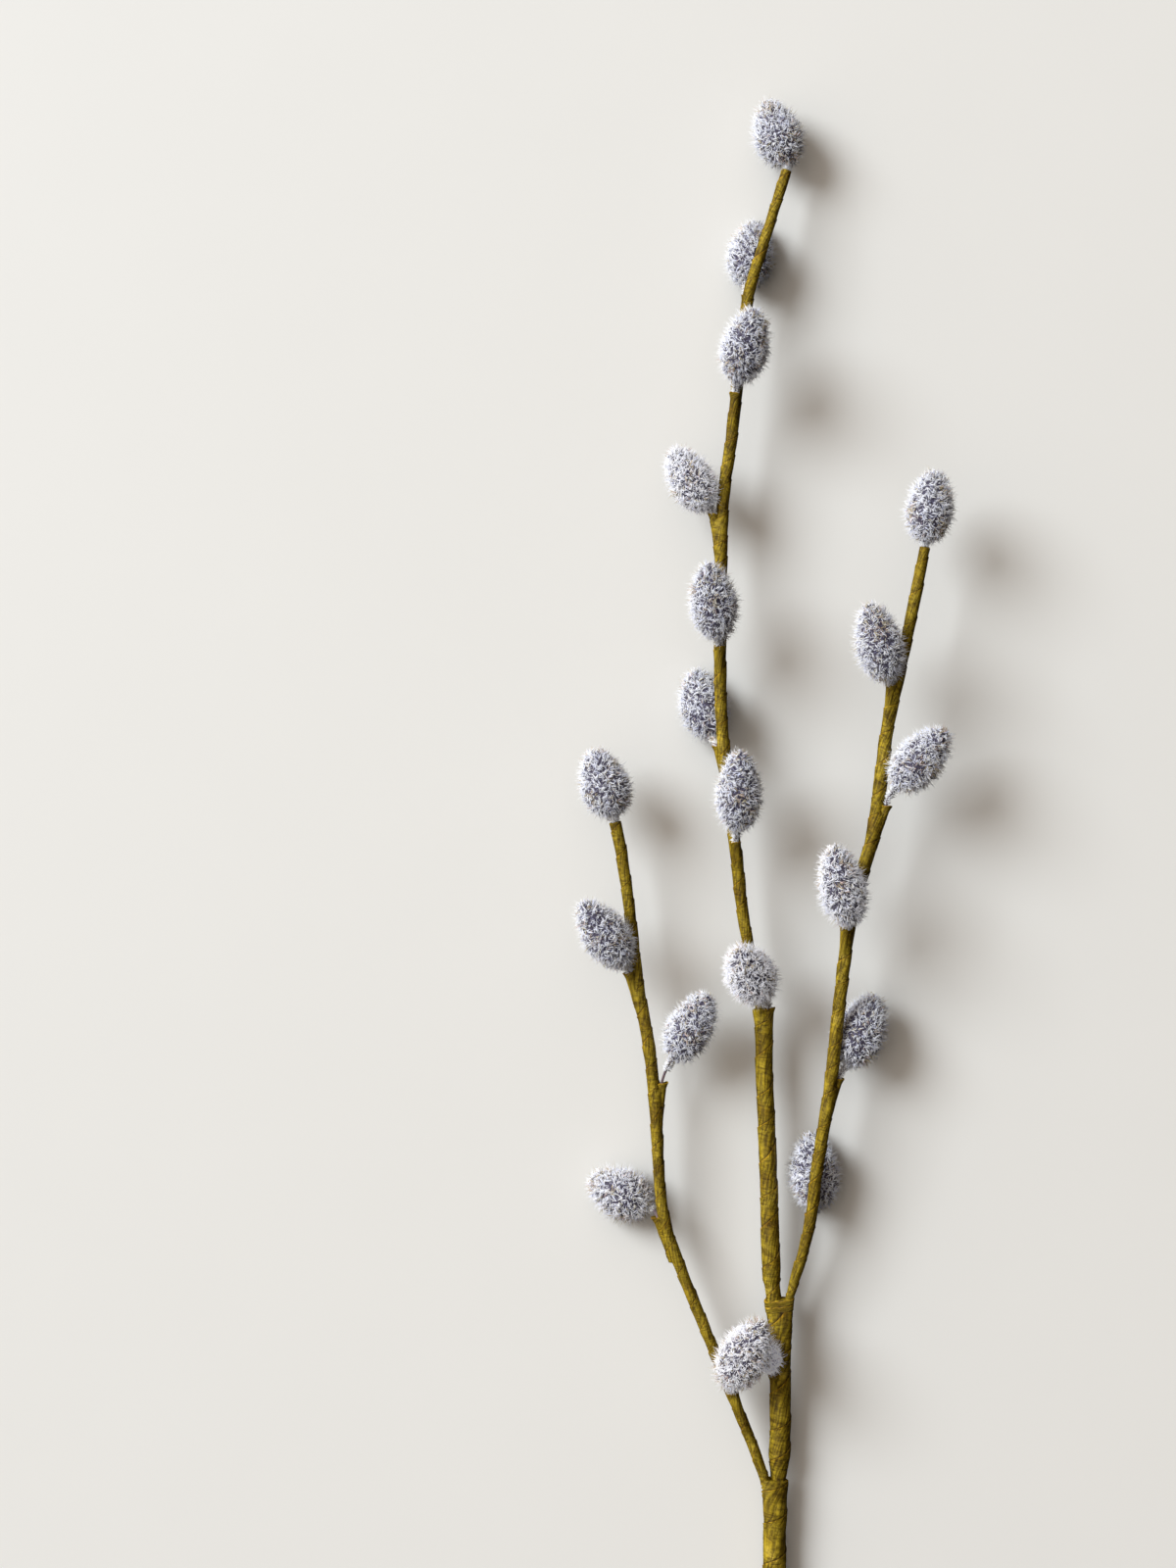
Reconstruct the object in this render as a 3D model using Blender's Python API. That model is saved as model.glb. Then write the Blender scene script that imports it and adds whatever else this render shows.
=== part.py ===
"""A cut pussy willow twig of paper-wrapped wire, lying on a surface and seen from above.

The twig runs along +Y to its tips and the surface is the plane z = 0.
Its main stem forks twice, into a left branch, a right branch and a leader, and
furry catkins stand on short stalks in cups of the paper wrap.
"""
import math

import bmesh
import bpy
from mathutils import Vector

# Clearance between neighbouring pieces, and how far a cutter runs past what it cuts
GAP = 0.0003
JOINT_GAP = 0.0004
OVERSHOOT = 0.004

# Wires inside the paper wrap
MAIN_WIRE_RADIUS = 0.0007
BRANCH_WIRE_RADIUS = 0.0006
WIRE_END_BELOW_TIP = 0.010

# Stations along the twig, as y
CUT_END = -0.2788
LOWER_FORK = -0.1500
UPPER_FORK = -0.0940
LEADER_FOOT = -0.0042
LEADER_TOP = 0.2525
RIGHT_TOP = 0.1362
LEFT_TOP = 0.0530
RIGHT_SLEEVE_FOOT = -0.1160
LEFT_SLEEVE_FOOT = -0.1710

# Centre lines, bottom to top, as points picked along each stem
CENTRE_LINE = [
    (0.0031, -0.2788, 0.0035),
    (0.0031, -0.2680, 0.0035),
    (0.0031, -0.2390, 0.0044),
    (0.0033, -0.1779, 0.0060),
    (0.0037, -0.1565, 0.0068),
    (0.0047, -0.1458, 0.0072),
    (0.0050, -0.1260, 0.0080),
    (0.0046, -0.1046, 0.0090),
    (0.0024, -0.0894, 0.0096),
    (0.0012, -0.0561, 0.0108),
    (-0.0001, -0.0258, 0.0118),
    (-0.0011, -0.0047, 0.0126),
    (-0.0063, 0.0210, 0.0142),
    (-0.0090, 0.0435, 0.0154),
    (-0.0127, 0.0735, 0.0168),
    (-0.0139, 0.0974, 0.0174),
    (-0.0138, 0.1243, 0.0176),
    (-0.0130, 0.1512, 0.0176),
    (-0.0106, 0.1692, 0.0176),
    (-0.0076, 0.1961, 0.0176),
    (-0.0052, 0.2141, 0.0174),
    (0.0002, 0.2322, 0.0166),
    (0.0067, 0.2529, 0.0138),
]
RIGHT_LINE = [
    (0.0064, -0.1165, 0.0104),
    (0.0068, -0.1043, 0.0110),
    (0.0076, -0.0936, 0.0117),
    (0.0101, -0.0847, 0.0130),
    (0.0135, -0.0705, 0.0153),
    (0.0157, -0.0522, 0.0176),
    (0.0190, -0.0310, 0.0194),
    (0.0220, -0.0041, 0.0208),
    (0.0258, 0.0258, 0.0220),
    (0.0316, 0.0467, 0.0228),
    (0.0343, 0.0645, 0.0234),
    (0.0366, 0.0823, 0.0239),
    (0.0398, 0.0972, 0.0243),
    (0.0436, 0.1150, 0.0246),
    (0.0478, 0.1366, 0.0250),
]
LEFT_LINE = [
    (0.0020, -0.1712, 0.0079),
    (0.0014, -0.1605, 0.0085),
    (0.0001, -0.1499, 0.0092),
    (-0.0033, -0.1401, 0.0098),
    (-0.0115, -0.1196, 0.0110),
    (-0.0203, -0.0980, 0.0120),
    (-0.0290, -0.0756, 0.0132),
    (-0.0318, -0.0632, 0.0138),
    (-0.0330, -0.0465, 0.0146),
    (-0.0342, -0.0284, 0.0156),
    (-0.0360, -0.0134, 0.0164),
    (-0.0390, 0.0032, 0.0172),
    (-0.0414, 0.0241, 0.0182),
    (-0.0441, 0.0436, 0.0192),
    (-0.0461, 0.0532, 0.0198),
]

# Wrap radius of each stretch, as (y, radius)
LOWER_STEM_RADII = [(CUT_END, 0.0036), (-0.1560, 0.0036), (LOWER_FORK, 0.0034)]
MIDDLE_STEM_RADII = [(LOWER_FORK, 0.0024), (-0.1430, 0.0033), (-0.1020, 0.0033), (UPPER_FORK, 0.0030)]
UPPER_STEM_RADII = [(UPPER_FORK, 0.0023), (-0.0860, 0.0029), (-0.0300, 0.0028), (LEADER_FOOT, 0.0029)]
LEADER_RADII = [(LEADER_FOOT, 0.0018), (0.0700, 0.0019), (0.1400, 0.0020), (LEADER_TOP, 0.0016)]
RIGHT_BRANCH_RADII = [(UPPER_FORK, 0.0017), (-0.0820, 0.0021), (0.0600, 0.0021), (RIGHT_TOP, 0.0017)]
LEFT_BRANCH_RADII = [(LOWER_FORK, 0.0016), (-0.1400, 0.0019), (-0.0300, 0.0019), (LEFT_TOP, 0.0018)]
SLEEVE_RADIUS = 0.0022
BLIND_HOLE_RISE = 0.009

# Paper cups that hold the catkins' stalks
CUP_RADIUS = 0.00135
CUP_FOOT_RADIUS = 0.0010
CUP_LENGTH = 0.014
CUP_RIM_LENGTH = 0.0035
CUP_OFFSET = 0.0025
CUP_LEAN = math.radians(8)
SOCKET_RADIUS = 0.0008
SOCKET_DEPTH = 0.0035

# Catkins
STALK_RADIUS = 0.0005
STALK_STEPS = 3
NECK_SHARE = 0.06
EGG_SKEW = 0.88
EGG_FULLNESS = 0.75
TIP_RADIUS = 0.0005
TUFT_HEIGHT = 0.07
TUFT_SWEEP = 0.045

# How high above the surface the underside is pressed flat where it rests
STEM_FLAT_HEIGHT = 0.0003
CATKIN_FLAT_HEIGHT = 0.0009

# Mesh fineness
STEM_SIDES = 10
WIRE_SIDES = 6
CUP_SIDES = 8
CATKIN_SIDES = 12
CATKIN_RINGS = 11
RING_SPACING = 0.009
END_RING = 0.001
CAPS = 2
SLOPE_STEP = 0.0005
SHARP_ANGLE = math.radians(50)
WRAP_STEP = 0.05
RINGS_PER_TURN = 3

# Looks
OLIVE = (0.205, 0.150, 0.030, 1.0)
STEEL = (0.34, 0.33, 0.31, 1.0)
BLUE_GREY = (0.46, 0.47, 0.58, 1.0)
PAPER_ROUGHNESS = 0.72
STEEL_ROUGHNESS = 0.42
FUR_ROUGHNESS = 0.95

# Catkins at the tips of the centre, right and left lines: name, line, base, tip, radius
END_CATKINS = [
    ("leader_catkin_1", CENTRE_LINE, LEADER_TOP, (0.0068, 0.2550, 0.0134), (0.0003, 0.2751, 0.0095), 0.0071),
    ("right_catkin_1", RIGHT_LINE, RIGHT_TOP, (0.0476, 0.1384, 0.0251), (0.0508, 0.1598, 0.0270), 0.0071),
    ("left_catkin_1", LEFT_LINE, LEFT_TOP, (-0.0465, 0.0552, 0.0199), (-0.0528, 0.0755, 0.0205), 0.0072),
]

# Catkins along the stems: name, stem, y of the cup's mouth, side of the stem in degrees
# from the right (90 is up, away from the surface), base, tip, radius
SIDE_CATKINS = [
    ("leader_catkin_2", "leader", 0.2136, 262, (-0.0055, 0.2185, 0.0103), (-0.0021, 0.2393, 0.0030), 0.0069),
    ("leader_catkin_3", "leader", 0.1830, 100, (-0.0091, 0.1871, 0.0240), (-0.0042, 0.2078, 0.0340), 0.0072),
    ("leader_catkin_4", "leader", 0.1464, 180, (-0.0182, 0.1491, 0.0190), (-0.0286, 0.1674, 0.0170), 0.0070),
    ("leader_catkin_5", "leader", 0.1059, 95, (-0.0150, 0.1092, 0.0240), (-0.0183, 0.1315, 0.0335), 0.0072),
    ("leader_catkin_6", "leader", 0.0759, 232, (-0.0164, 0.0795, 0.0106), (-0.0215, 0.1003, 0.0037), 0.0072),
    ("leader_catkin_7", "leader", 0.0465, 90, (-0.0090, 0.0511, 0.0225), (-0.0085, 0.0751, 0.0320), 0.0069),
    ("upper_stem_catkin", "upper_stem", -0.0048, 40, (-0.0017, 0.0006, 0.0192), (-0.0097, 0.0148, 0.0358), 0.0074),
    ("right_catkin_2", "right_branch", 0.0939, 135, (0.0359, 0.0961, 0.0290), (0.0298, 0.1192, 0.0350), 0.0072),
    ("right_catkin_3", "right_branch", 0.0579, 10, (0.0392, 0.0640, 0.0255), (0.0541, 0.0814, 0.0290), 0.0072),
    ("right_catkin_4", "right_branch", 0.0207, 120, (0.0246, 0.0227, 0.0275), (0.0190, 0.0466, 0.0365), 0.0072),
    ("right_catkin_5", "right_branch", -0.0255, 330, (0.0250, -0.0208, 0.0160), (0.0347, -0.0001, 0.0085), 0.0072),
    ("right_catkin_6", "right_branch", -0.0684, 270, (0.0162, -0.0659, 0.0092), (0.0149, -0.0426, 0.0040), 0.0072),
    ("left_catkin_2", "left_branch", 0.0069, 150, (-0.0430, 0.0100, 0.0225), (-0.0567, 0.0295, 0.0270), 0.0072),
    ("left_catkin_3", "left_branch", -0.0276, 0, (-0.0280, -0.0186, 0.0180), (-0.0170, 0.0013, 0.0200), 0.0069),
    ("left_catkin_4", "left_branch", -0.0684, 215, (-0.0360, -0.0655, 0.0078), (-0.0544, -0.0575, 0.0056), 0.0070),
    ("left_catkin_5", "left_branch", -0.1227, 75, (-0.0118, -0.1185, 0.0175), (-0.0012, -0.0969, 0.0310), 0.0072),
    ("middle_stem_catkin", "middle_stem", -0.1173, 130, (0.0020, -0.1150, 0.0130), (0.0000, -0.1043, 0.0165), 0.0030),
]


def clear_scene():
    """Removes whatever objects the scene holds."""
    for item in list(bpy.data.objects):
        bpy.data.objects.remove(item, do_unlink=True)


def new_collection(name):
    """Makes a collection in the scene."""
    collection = bpy.data.collections.new(name)
    bpy.context.scene.collection.children.link(collection)
    return collection


def new_material(name, colour, roughness, metallic=0.0):
    """Makes a plain Principled material."""
    material = bpy.data.materials.new(name)
    material.use_nodes = True
    shader = material.node_tree.nodes["Principled BSDF"]
    shader.inputs["Base Color"].default_value = colour
    shader.inputs["Roughness"].default_value = roughness
    shader.inputs["Metallic"].default_value = metallic
    return material


def slope(line, index, axis):
    """Gives a centre line's lean at one of its points, per metre of y."""
    low = line[max(index - 1, 0)]
    high = line[min(index + 1, len(line) - 1)]
    return (high[axis] - low[axis]) / (high[1] - low[1])


def on_line(line, y):
    """Gives the point of a centre line at y, on a smooth curve through its points."""
    index = 0
    while index < len(line) - 2 and y > line[index + 1][1]:
        index += 1
    low = line[index]
    high = line[index + 1]
    span = high[1] - low[1]
    share = (y - low[1]) / span
    place = [0.0, y, 0.0]
    for axis in (0, 2):
        start = slope(line, index, axis) * span
        end = slope(line, index + 1, axis) * span
        rise = high[axis] - low[axis]
        bend = share * (1 - share) * ((start - rise) * (1 - share) - (end - rise) * share)
        place[axis] = low[axis] + rise * share + bend
    return Vector(place)


def direction(line, y):
    """Gives the direction of a centre line at y, towards the tips."""
    return (on_line(line, y + SLOPE_STEP) - on_line(line, y - SLOPE_STEP)).normalized()


def radius_at(radii, y):
    """Gives the wrap radius at y, in a straight taper between the stations listed."""
    for (low_y, low), (high_y, high) in zip(radii, radii[1:]):
        if y <= high_y:
            share = max(0.0, (y - low_y) / (high_y - low_y))
            return low + (high - low) * share
    return radii[-1][1]


def stations(start, end):
    """Gives the y stations from start to end, on one grid that wrap and wires share."""
    levels = [start, start + END_RING]
    first = math.ceil((start + 2 * END_RING) / RING_SPACING)
    last = math.floor((end - 2 * END_RING) / RING_SPACING)
    levels += [step * RING_SPACING for step in range(first, last + 1)]
    return levels + [end - END_RING, end]


def sweep(name, points, radii, sides):
    """Makes a closed tube mesh along points, with a radius at each, and returns the mesh.

    Its vertices are those of the two caps, and then of each ring in turn.
    """
    curve = bpy.data.curves.new(name, "CURVE")
    curve.dimensions = "3D"
    curve.bevel_depth = 1.0
    curve.bevel_resolution = (sides - 4) // 2
    curve.use_fill_caps = True
    spline = curve.splines.new("POLY")
    spline.points.add(len(points) - 1)
    for knot, point, radius in zip(spline.points, points, radii):
        knot.co = (*point, 1.0)
        knot.radius = radius
    holder = bpy.data.objects.new(name, curve)
    bpy.context.scene.collection.objects.link(holder)
    graph = bpy.context.evaluated_depsgraph_get()
    mesh = bpy.data.meshes.new_from_object(holder.evaluated_get(graph))
    mesh.name = name
    bpy.data.objects.remove(holder, do_unlink=True)
    bpy.data.curves.remove(curve)
    return mesh


def ring_and_side(vertex, sides):
    """Gives a tube vertex's ring along the tube, below 0 for a cap, and its place round it."""
    ring, side = divmod(vertex.index, sides)
    return ring - CAPS, side


def weld_caps(mesh):
    """Joins a tube's caps to its ends."""
    cage = bmesh.new()
    cage.from_mesh(mesh)
    bmesh.ops.remove_doubles(cage, verts=cage.verts, dist=0.000001)
    bmesh.ops.recalc_face_normals(cage, faces=cage.faces)
    cage.to_mesh(mesh)
    cage.free()


def add_object(name, mesh, collection, material=None):
    """Places a mesh in the scene as an object."""
    item = bpy.data.objects.new(name, mesh)
    collection.objects.link(item)
    if material is not None:
        mesh.materials.clear()
        mesh.materials.append(material)
    return item


def add_tube(name, points, radii, sides, collection, material=None):
    """Places a closed tube in the scene."""
    mesh = sweep(name, points, radii, sides)
    weld_caps(mesh)
    return add_object(name, mesh, collection, material)


def add_cutter(name, points, radius, sides, cutters):
    """Places a tube that only cuts."""
    cutter = add_tube(name, points, [radius] * len(points), sides, cutters)
    cutter.hide_render = True
    cutter.display_type = "WIRE"
    return cutter


def raise_wrap(mesh, points):
    """Gives a stem the low spiral step of overlapping paper."""
    for vertex in mesh.vertices:
        ring, side = ring_and_side(vertex, STEM_SIDES)
        if 0 < ring < len(points) - 1:
            turn = (ring / RINGS_PER_TURN + side / STEM_SIDES) % 1.0
            centre = points[ring]
            vertex.co = centre + (vertex.co - centre) * (1 + WRAP_STEP * (turn - 0.5))


def rest_on_surface(mesh, height):
    """Flattens what dips below the surface, or all but touches it, into a small flat spot."""
    for vertex in mesh.vertices:
        if vertex.co.z < height:
            vertex.co.z = 0.0


def join_solids(item, extras):
    """Joins every solid of a collection to an object and removes the collection."""
    union = item.modifiers.new("join", "BOOLEAN")
    union.operation = "UNION"
    union.operand_type = "COLLECTION"
    union.collection = extras
    graph = bpy.context.evaluated_depsgraph_get()
    joined = bpy.data.meshes.new_from_object(item.evaluated_get(graph))
    item.modifiers.remove(union)
    item.data = joined
    for extra in list(extras.objects):
        bpy.data.objects.remove(extra, do_unlink=True)
    bpy.data.collections.remove(extras)


def cut_solids(item, cutters):
    """Cuts an object with every solid of a collection."""
    cut = item.modifiers.new("cut", "BOOLEAN")
    cut.operation = "DIFFERENCE"
    cut.operand_type = "COLLECTION"
    cut.collection = cutters


class Cup:
    """A paper cup's mouth and the way it faces, on the side of a stem."""

    def __init__(self, line, radii, y, side):
        along = direction(line, y)
        angle = math.radians(side)
        outward = Vector((math.cos(angle), 0.0, math.sin(angle)))
        outward = (outward - along * outward.dot(along)).normalized()
        offset = max(CUP_OFFSET, radius_at(radii, y))
        self.facing = along * math.cos(CUP_LEAN) + outward * math.sin(CUP_LEAN)
        self.mouth = on_line(line, y) + outward * offset

    def below(self, depth):
        """Gives the point at a depth inside the cup, on its axis."""
        return self.mouth - self.facing * depth


def wrapped_stretch(name, line, radii, wire_radius, cups, sleeves, blind_holes):
    """Makes one stretch of wrapped stem, with its cups, its wire's hole and its sockets."""
    start = radii[0][0]
    end = radii[-1][0] - JOINT_GAP
    levels = stations(start, end)
    points = [on_line(line, y) for y in levels]
    mesh = sweep(name, points, [radius_at(radii, y) for y in levels], STEM_SIDES)
    raise_wrap(mesh, points)
    rest_on_surface(mesh, STEM_FLAT_HEIGHT)
    weld_caps(mesh)
    stem = add_object(name, mesh, parts, olive_paper)
    extras = bpy.data.collections.new(name + " extras")
    bpy.context.scene.collection.children.link(extras)
    for sleeve_line, low, radius in sleeves:
        path = [on_line(sleeve_line, y) for y in stations(low, end)]
        add_tube(name + " sleeve", path, [radius] * len(path), STEM_SIDES, extras)
    for cup in cups:
        rim = [cup.below(CUP_LENGTH), cup.below(CUP_RIM_LENGTH), cup.mouth]
        add_tube(name + " cup", rim, [CUP_FOOT_RADIUS, CUP_RADIUS, CUP_RADIUS], CUP_SIDES, extras)
    join_solids(stem, extras)
    cutters = bpy.data.collections.new(name + " cutters")
    all_cutters.children.link(cutters)
    bore = [on_line(line, start - OVERSHOOT)] + points + [on_line(line, end + OVERSHOOT)]
    add_cutter(name + " bore", bore, wire_radius + GAP, WIRE_SIDES, cutters)
    for hole_line, low, radius in blind_holes:
        path = [on_line(hole_line, y) for y in stations(low, end) + [end + OVERSHOOT]]
        add_cutter(name + " wire hole", path, radius, WIRE_SIDES, cutters)
    for cup in cups:
        path = [cup.below(SOCKET_DEPTH), cup.mouth + cup.facing * OVERSHOOT]
        add_cutter(name + " socket", path, SOCKET_RADIUS, CUP_SIDES, cutters)
    cut_solids(stem, cutters)
    return stem


def wire(name, line, stretches, start, end, radius):
    """Makes a wire inside the wrap, with rings where those of its stretches are."""
    levels = set(stations(start, end))
    for stretch in stretches:
        low = STRETCHES[stretch][1][0][0]
        high = STRETCHES[stretch][1][-1][0] - JOINT_GAP
        levels.update(y for y in stations(low, high) if start < y < end)
    points = [on_line(line, y) for y in sorted(levels)]
    return add_tube(name, points, [radius] * len(points), WIRE_SIDES, parts, steel_wire)


def egg_radius(share):
    """Gives a catkin's girth from its neck, 0, to its tip, 1, as a share of its largest."""
    turn = (NECK_SHARE + (1 - NECK_SHARE) * share) ** EGG_SKEW
    return math.sin(math.pi * turn) ** EGG_FULLNESS


def catkin(name, root, facing, base, tip, girth):
    """Makes a catkin: a stalk that bends up from its cup, and a body of swept-back tufts."""
    base = Vector(base)
    tip = Vector(tip)
    axis = tip - base
    reach = (base - root).length / 3
    points = [root, root + facing * SOCKET_DEPTH]
    radii = [STALK_RADIUS, STALK_RADIUS]
    start = points[1]
    neck_radius = egg_radius(0) * girth
    for step in range(1, STALK_STEPS):
        share = step / STALK_STEPS
        leaving = start + facing * reach * share
        arriving = base - axis.normalized() * reach * (1 - share)
        points.append(leaving.lerp(arriving, share))
        radii.append(STALK_RADIUS + (neck_radius - STALK_RADIUS) * share ** 3)
    first_body_ring = len(points)
    for ring in range(CATKIN_RINGS):
        even = ring / CATKIN_RINGS
        rounded = 0.5 - 0.5 * math.cos(math.pi * even)
        share = (even + rounded) / 2
        points.append(base + axis * share)
        radii.append(egg_radius(share) * girth)
    points.append(tip)
    radii.append(TIP_RADIUS)
    mesh = sweep(name, points, radii, CATKIN_SIDES)
    last_body_ring = len(points) - 2
    for vertex in mesh.vertices:
        ring, side = ring_and_side(vertex, CATKIN_SIDES)
        if vertex.co.z > CATKIN_FLAT_HEIGHT and first_body_ring < ring <= last_body_ring:
            raised = 1 if (ring + side) % 2 == 0 else -1
            outward = vertex.co - points[ring]
            vertex.co += outward * TUFT_HEIGHT * raised + axis * TUFT_SWEEP * raised
    rest_on_surface(mesh, CATKIN_FLAT_HEIGHT)
    weld_caps(mesh)
    return add_object(name, mesh, parts, grey_fur)


clear_scene()
parts = new_collection("willow twig")
all_cutters = new_collection("cutters")
olive_paper = new_material("olive_paper", OLIVE, PAPER_ROUGHNESS)
steel_wire = new_material("steel_wire", STEEL, STEEL_ROUGHNESS, metallic=1.0)
grey_fur = new_material("grey_fur", BLUE_GREY, FUR_ROUGHNESS)

# Name, centre line, radii, wire radius, side sleeves and blind holes of each stretch
STRETCHES = {
    "lower_stem": (CENTRE_LINE, LOWER_STEM_RADII, MAIN_WIRE_RADIUS, LEFT_LINE, LEFT_SLEEVE_FOOT),
    "middle_stem": (CENTRE_LINE, MIDDLE_STEM_RADII, MAIN_WIRE_RADIUS, RIGHT_LINE, RIGHT_SLEEVE_FOOT),
    "upper_stem": (CENTRE_LINE, UPPER_STEM_RADII, MAIN_WIRE_RADIUS, None, None),
    "leader": (CENTRE_LINE, LEADER_RADII, MAIN_WIRE_RADIUS, None, None),
    "right_branch": (RIGHT_LINE, RIGHT_BRANCH_RADII, BRANCH_WIRE_RADIUS, None, None),
    "left_branch": (LEFT_LINE, LEFT_BRANCH_RADII, BRANCH_WIRE_RADIUS, None, None),
}

for stem_name, (line, radii, wire_radius, branch_line, sleeve_foot) in STRETCHES.items():
    cups = []
    for name, carrier, y, side, base, tip, girth in SIDE_CATKINS:
        if carrier == stem_name:
            cup = Cup(line, radii, y, side)
            cups.append(cup)
            catkin(name, cup.below(SOCKET_DEPTH - GAP), cup.facing, base, tip, girth)
    sleeves = []
    holes = []
    if branch_line is not None:
        sleeves.append((branch_line, sleeve_foot, SLEEVE_RADIUS))
        holes.append((branch_line, sleeve_foot + BLIND_HOLE_RISE, BRANCH_WIRE_RADIUS + GAP))
    wrapped_stretch(stem_name, line, radii, wire_radius, cups, sleeves, holes)

for name, line, top, base, tip, girth in END_CATKINS:
    catkin(name, on_line(line, top - SOCKET_DEPTH), direction(line, top), base, tip, girth)

wire("main_wire", CENTRE_LINE, ["lower_stem", "middle_stem", "upper_stem", "leader"], CUT_END,
     LEADER_TOP - WIRE_END_BELOW_TIP, MAIN_WIRE_RADIUS)
wire("right_wire", RIGHT_LINE, ["right_branch"], RIGHT_SLEEVE_FOOT + BLIND_HOLE_RISE + GAP,
     RIGHT_TOP - WIRE_END_BELOW_TIP, BRANCH_WIRE_RADIUS)
wire("left_wire", LEFT_LINE, ["left_branch"], LEFT_SLEEVE_FOOT + BLIND_HOLE_RISE + GAP,
     LEFT_TOP - WIRE_END_BELOW_TIP, BRANCH_WIRE_RADIUS)

twig = bpy.data.objects.new("willow_twig", None)
parts.objects.link(twig)
for item in list(parts.objects):
    if item.type == "MESH":
        item.parent = twig
        item.data.shade_smooth()
        item.data.set_sharp_from_angle(angle=SHARP_ANGLE)
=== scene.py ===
"""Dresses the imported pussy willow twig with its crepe-paper wrap, its paper cups and its fur.

The twig lies on a pale surface, z = 0, along +Y, and the camera looks straight down on it.
Centre lines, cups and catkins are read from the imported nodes, so each piece sits where its node is.
"""

import math
from typing import NamedTuple

import bpy
import numpy as np
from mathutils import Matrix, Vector, noise


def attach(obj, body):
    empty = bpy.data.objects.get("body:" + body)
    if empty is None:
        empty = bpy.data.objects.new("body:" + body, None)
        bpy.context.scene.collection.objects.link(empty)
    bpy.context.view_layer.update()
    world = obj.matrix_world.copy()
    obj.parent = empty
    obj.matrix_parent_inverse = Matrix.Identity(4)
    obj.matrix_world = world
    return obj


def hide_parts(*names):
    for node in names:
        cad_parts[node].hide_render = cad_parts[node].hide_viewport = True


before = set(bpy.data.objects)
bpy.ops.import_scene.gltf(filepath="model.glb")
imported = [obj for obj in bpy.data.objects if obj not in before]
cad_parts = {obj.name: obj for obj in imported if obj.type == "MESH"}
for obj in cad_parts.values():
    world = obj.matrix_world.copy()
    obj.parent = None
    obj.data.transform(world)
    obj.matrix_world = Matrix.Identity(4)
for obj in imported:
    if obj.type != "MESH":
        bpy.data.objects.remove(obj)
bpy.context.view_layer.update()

# Camera: above the twig, with the photograph's distance and framing
CAMERA_PLACE = (-0.0543, 0.0645, 0.915)
LENS = 67.5
SENSOR = 36.0

# Light: a broad lamp, low on the upper left, and an even fill
LAMP_DISTANCE = 4.5
LAMP_SIZE = 2.6
LAMP_SIDE = math.radians(148)
LAMP_RISE = math.radians(40)
LAMP_WATTS = 200
LAMP_COLOUR = (0.96, 1.0, 1.02)
FILL_COLOUR = (0.99, 0.85, 0.72)
FILL_STRENGTH = 1.24
FILL_WAY = (-0.80, 0.46, 0.38)
FILL_EVEN = 0.03
BACKDROP_COLOUR = (0.79, 0.79, 0.76)
FLOOR_BOUNCE = 0.05

# Wrap radius of each stretch, as (y, radius), and the rise of its tape in one turn
STRETCHES = {
    "lower_stem": ([(-0.2788, 0.0036), (-0.1560, 0.0036), (-0.1500, 0.0034)], 0.0115),
    "middle_stem": ([(-0.1500, 0.0024), (-0.1430, 0.0033), (-0.1020, 0.0033), (-0.0940, 0.0030)], 0.0110),
    "upper_stem": (
        [(-0.0940, 0.0024), (-0.0895, 0.0024), (-0.0880, 0.0029), (-0.0300, 0.0027), (-0.0042, 0.0027)], 0.0105,
    ),
    "leader": ([(-0.0042, 0.0018), (0.0700, 0.0019), (0.1400, 0.0020), (0.2525, 0.0016)], 0.0080),
    "right_branch": (
        [(-0.0940, 0.0013), (-0.0880, 0.0016), (-0.0700, 0.0019), (0.0600, 0.0021), (0.1362, 0.0017)], 0.0085,
    ),
    "left_branch": ([(-0.1500, 0.0014), (-0.1420, 0.0017), (-0.0300, 0.0019), (0.0530, 0.0018)], 0.0080),
}
# Stretches with a branch's foot under their wrap: the branch, and the y where its sleeve starts
SLEEVES = {"lower_stem": ("left_branch", -0.1710), "middle_stem": ("right_branch", -0.1160)}
SLEEVE_RADIUS = 0.0017
BANDED = "middle_stem"
CARRIERS = {
    "leader_catkin": "leader",
    "upper_stem_catkin": "upper_stem",
    "right_catkin": "right_branch",
    "left_catkin": "left_branch",
    "middle_stem_catkin": "middle_stem",
}
END_CATKINS = {"leader": "leader_catkin_1", "right_branch": "right_catkin_1", "left_branch": "left_catkin_1"}

# Paper wrap
RING_STEP = 0.00054
SIDES = 22
TAPE_THICKNESS = 0.00020
JOINT_GAP = 0.0004
FOOT_INSET = 0.0012
LUMP_HEIGHT = 0.00021
LUMP_SCALE = 170
BAND_WIDTH = 0.0017
BAND_THICKNESS = 0.00014

# Cups
CUP_RADIUS = 0.00135
CUP_FOOT_RADIUS = 0.0010
CUP_LENGTH = 0.014
CUP_RIM_LENGTH = 0.0035
CUP_SIDES = 16
SOCKET_DEPTH = 0.0035
STALK_RADIUS = 0.0005

# Catkins
CATKIN_SIDES = 12
NECK_SHARE = 0.06
EGG_SKEW = 0.88
EGG_FULLNESS = 0.75
TUFT_HEIGHT = 0.07
FUR_DEPTH = 0.0013
CORE_SIDES = 16
CORE_ROWS = 24
STALK_ROWS = 10
LEAST_HEIGHT = 0.00012
COAT_NORMAL = 0.7
SKY_NORMAL = 0.9
PALE_SKY = 1.0
STALK_FUR = 0.0006
TINTS = 13
BRIGHT_TINTS = (4, 8)
BROWN_TINTS = (8, 9, 10)
# Tint of pale hairs that glow faintly: painted light standing in for light passing into them
GLOWING_TINT = 12
# Short pile on the core, which is dark as painted shade: tufts across and along its strip of the map, and their colour
PILE_ROUND = 1500
PILE_ALONG = 55
PILE_COLOUR = (0.10, 0.095, 0.165)
# Strength of the pale hairs' painted glow
HAIR_GLOW = 0.17
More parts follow.
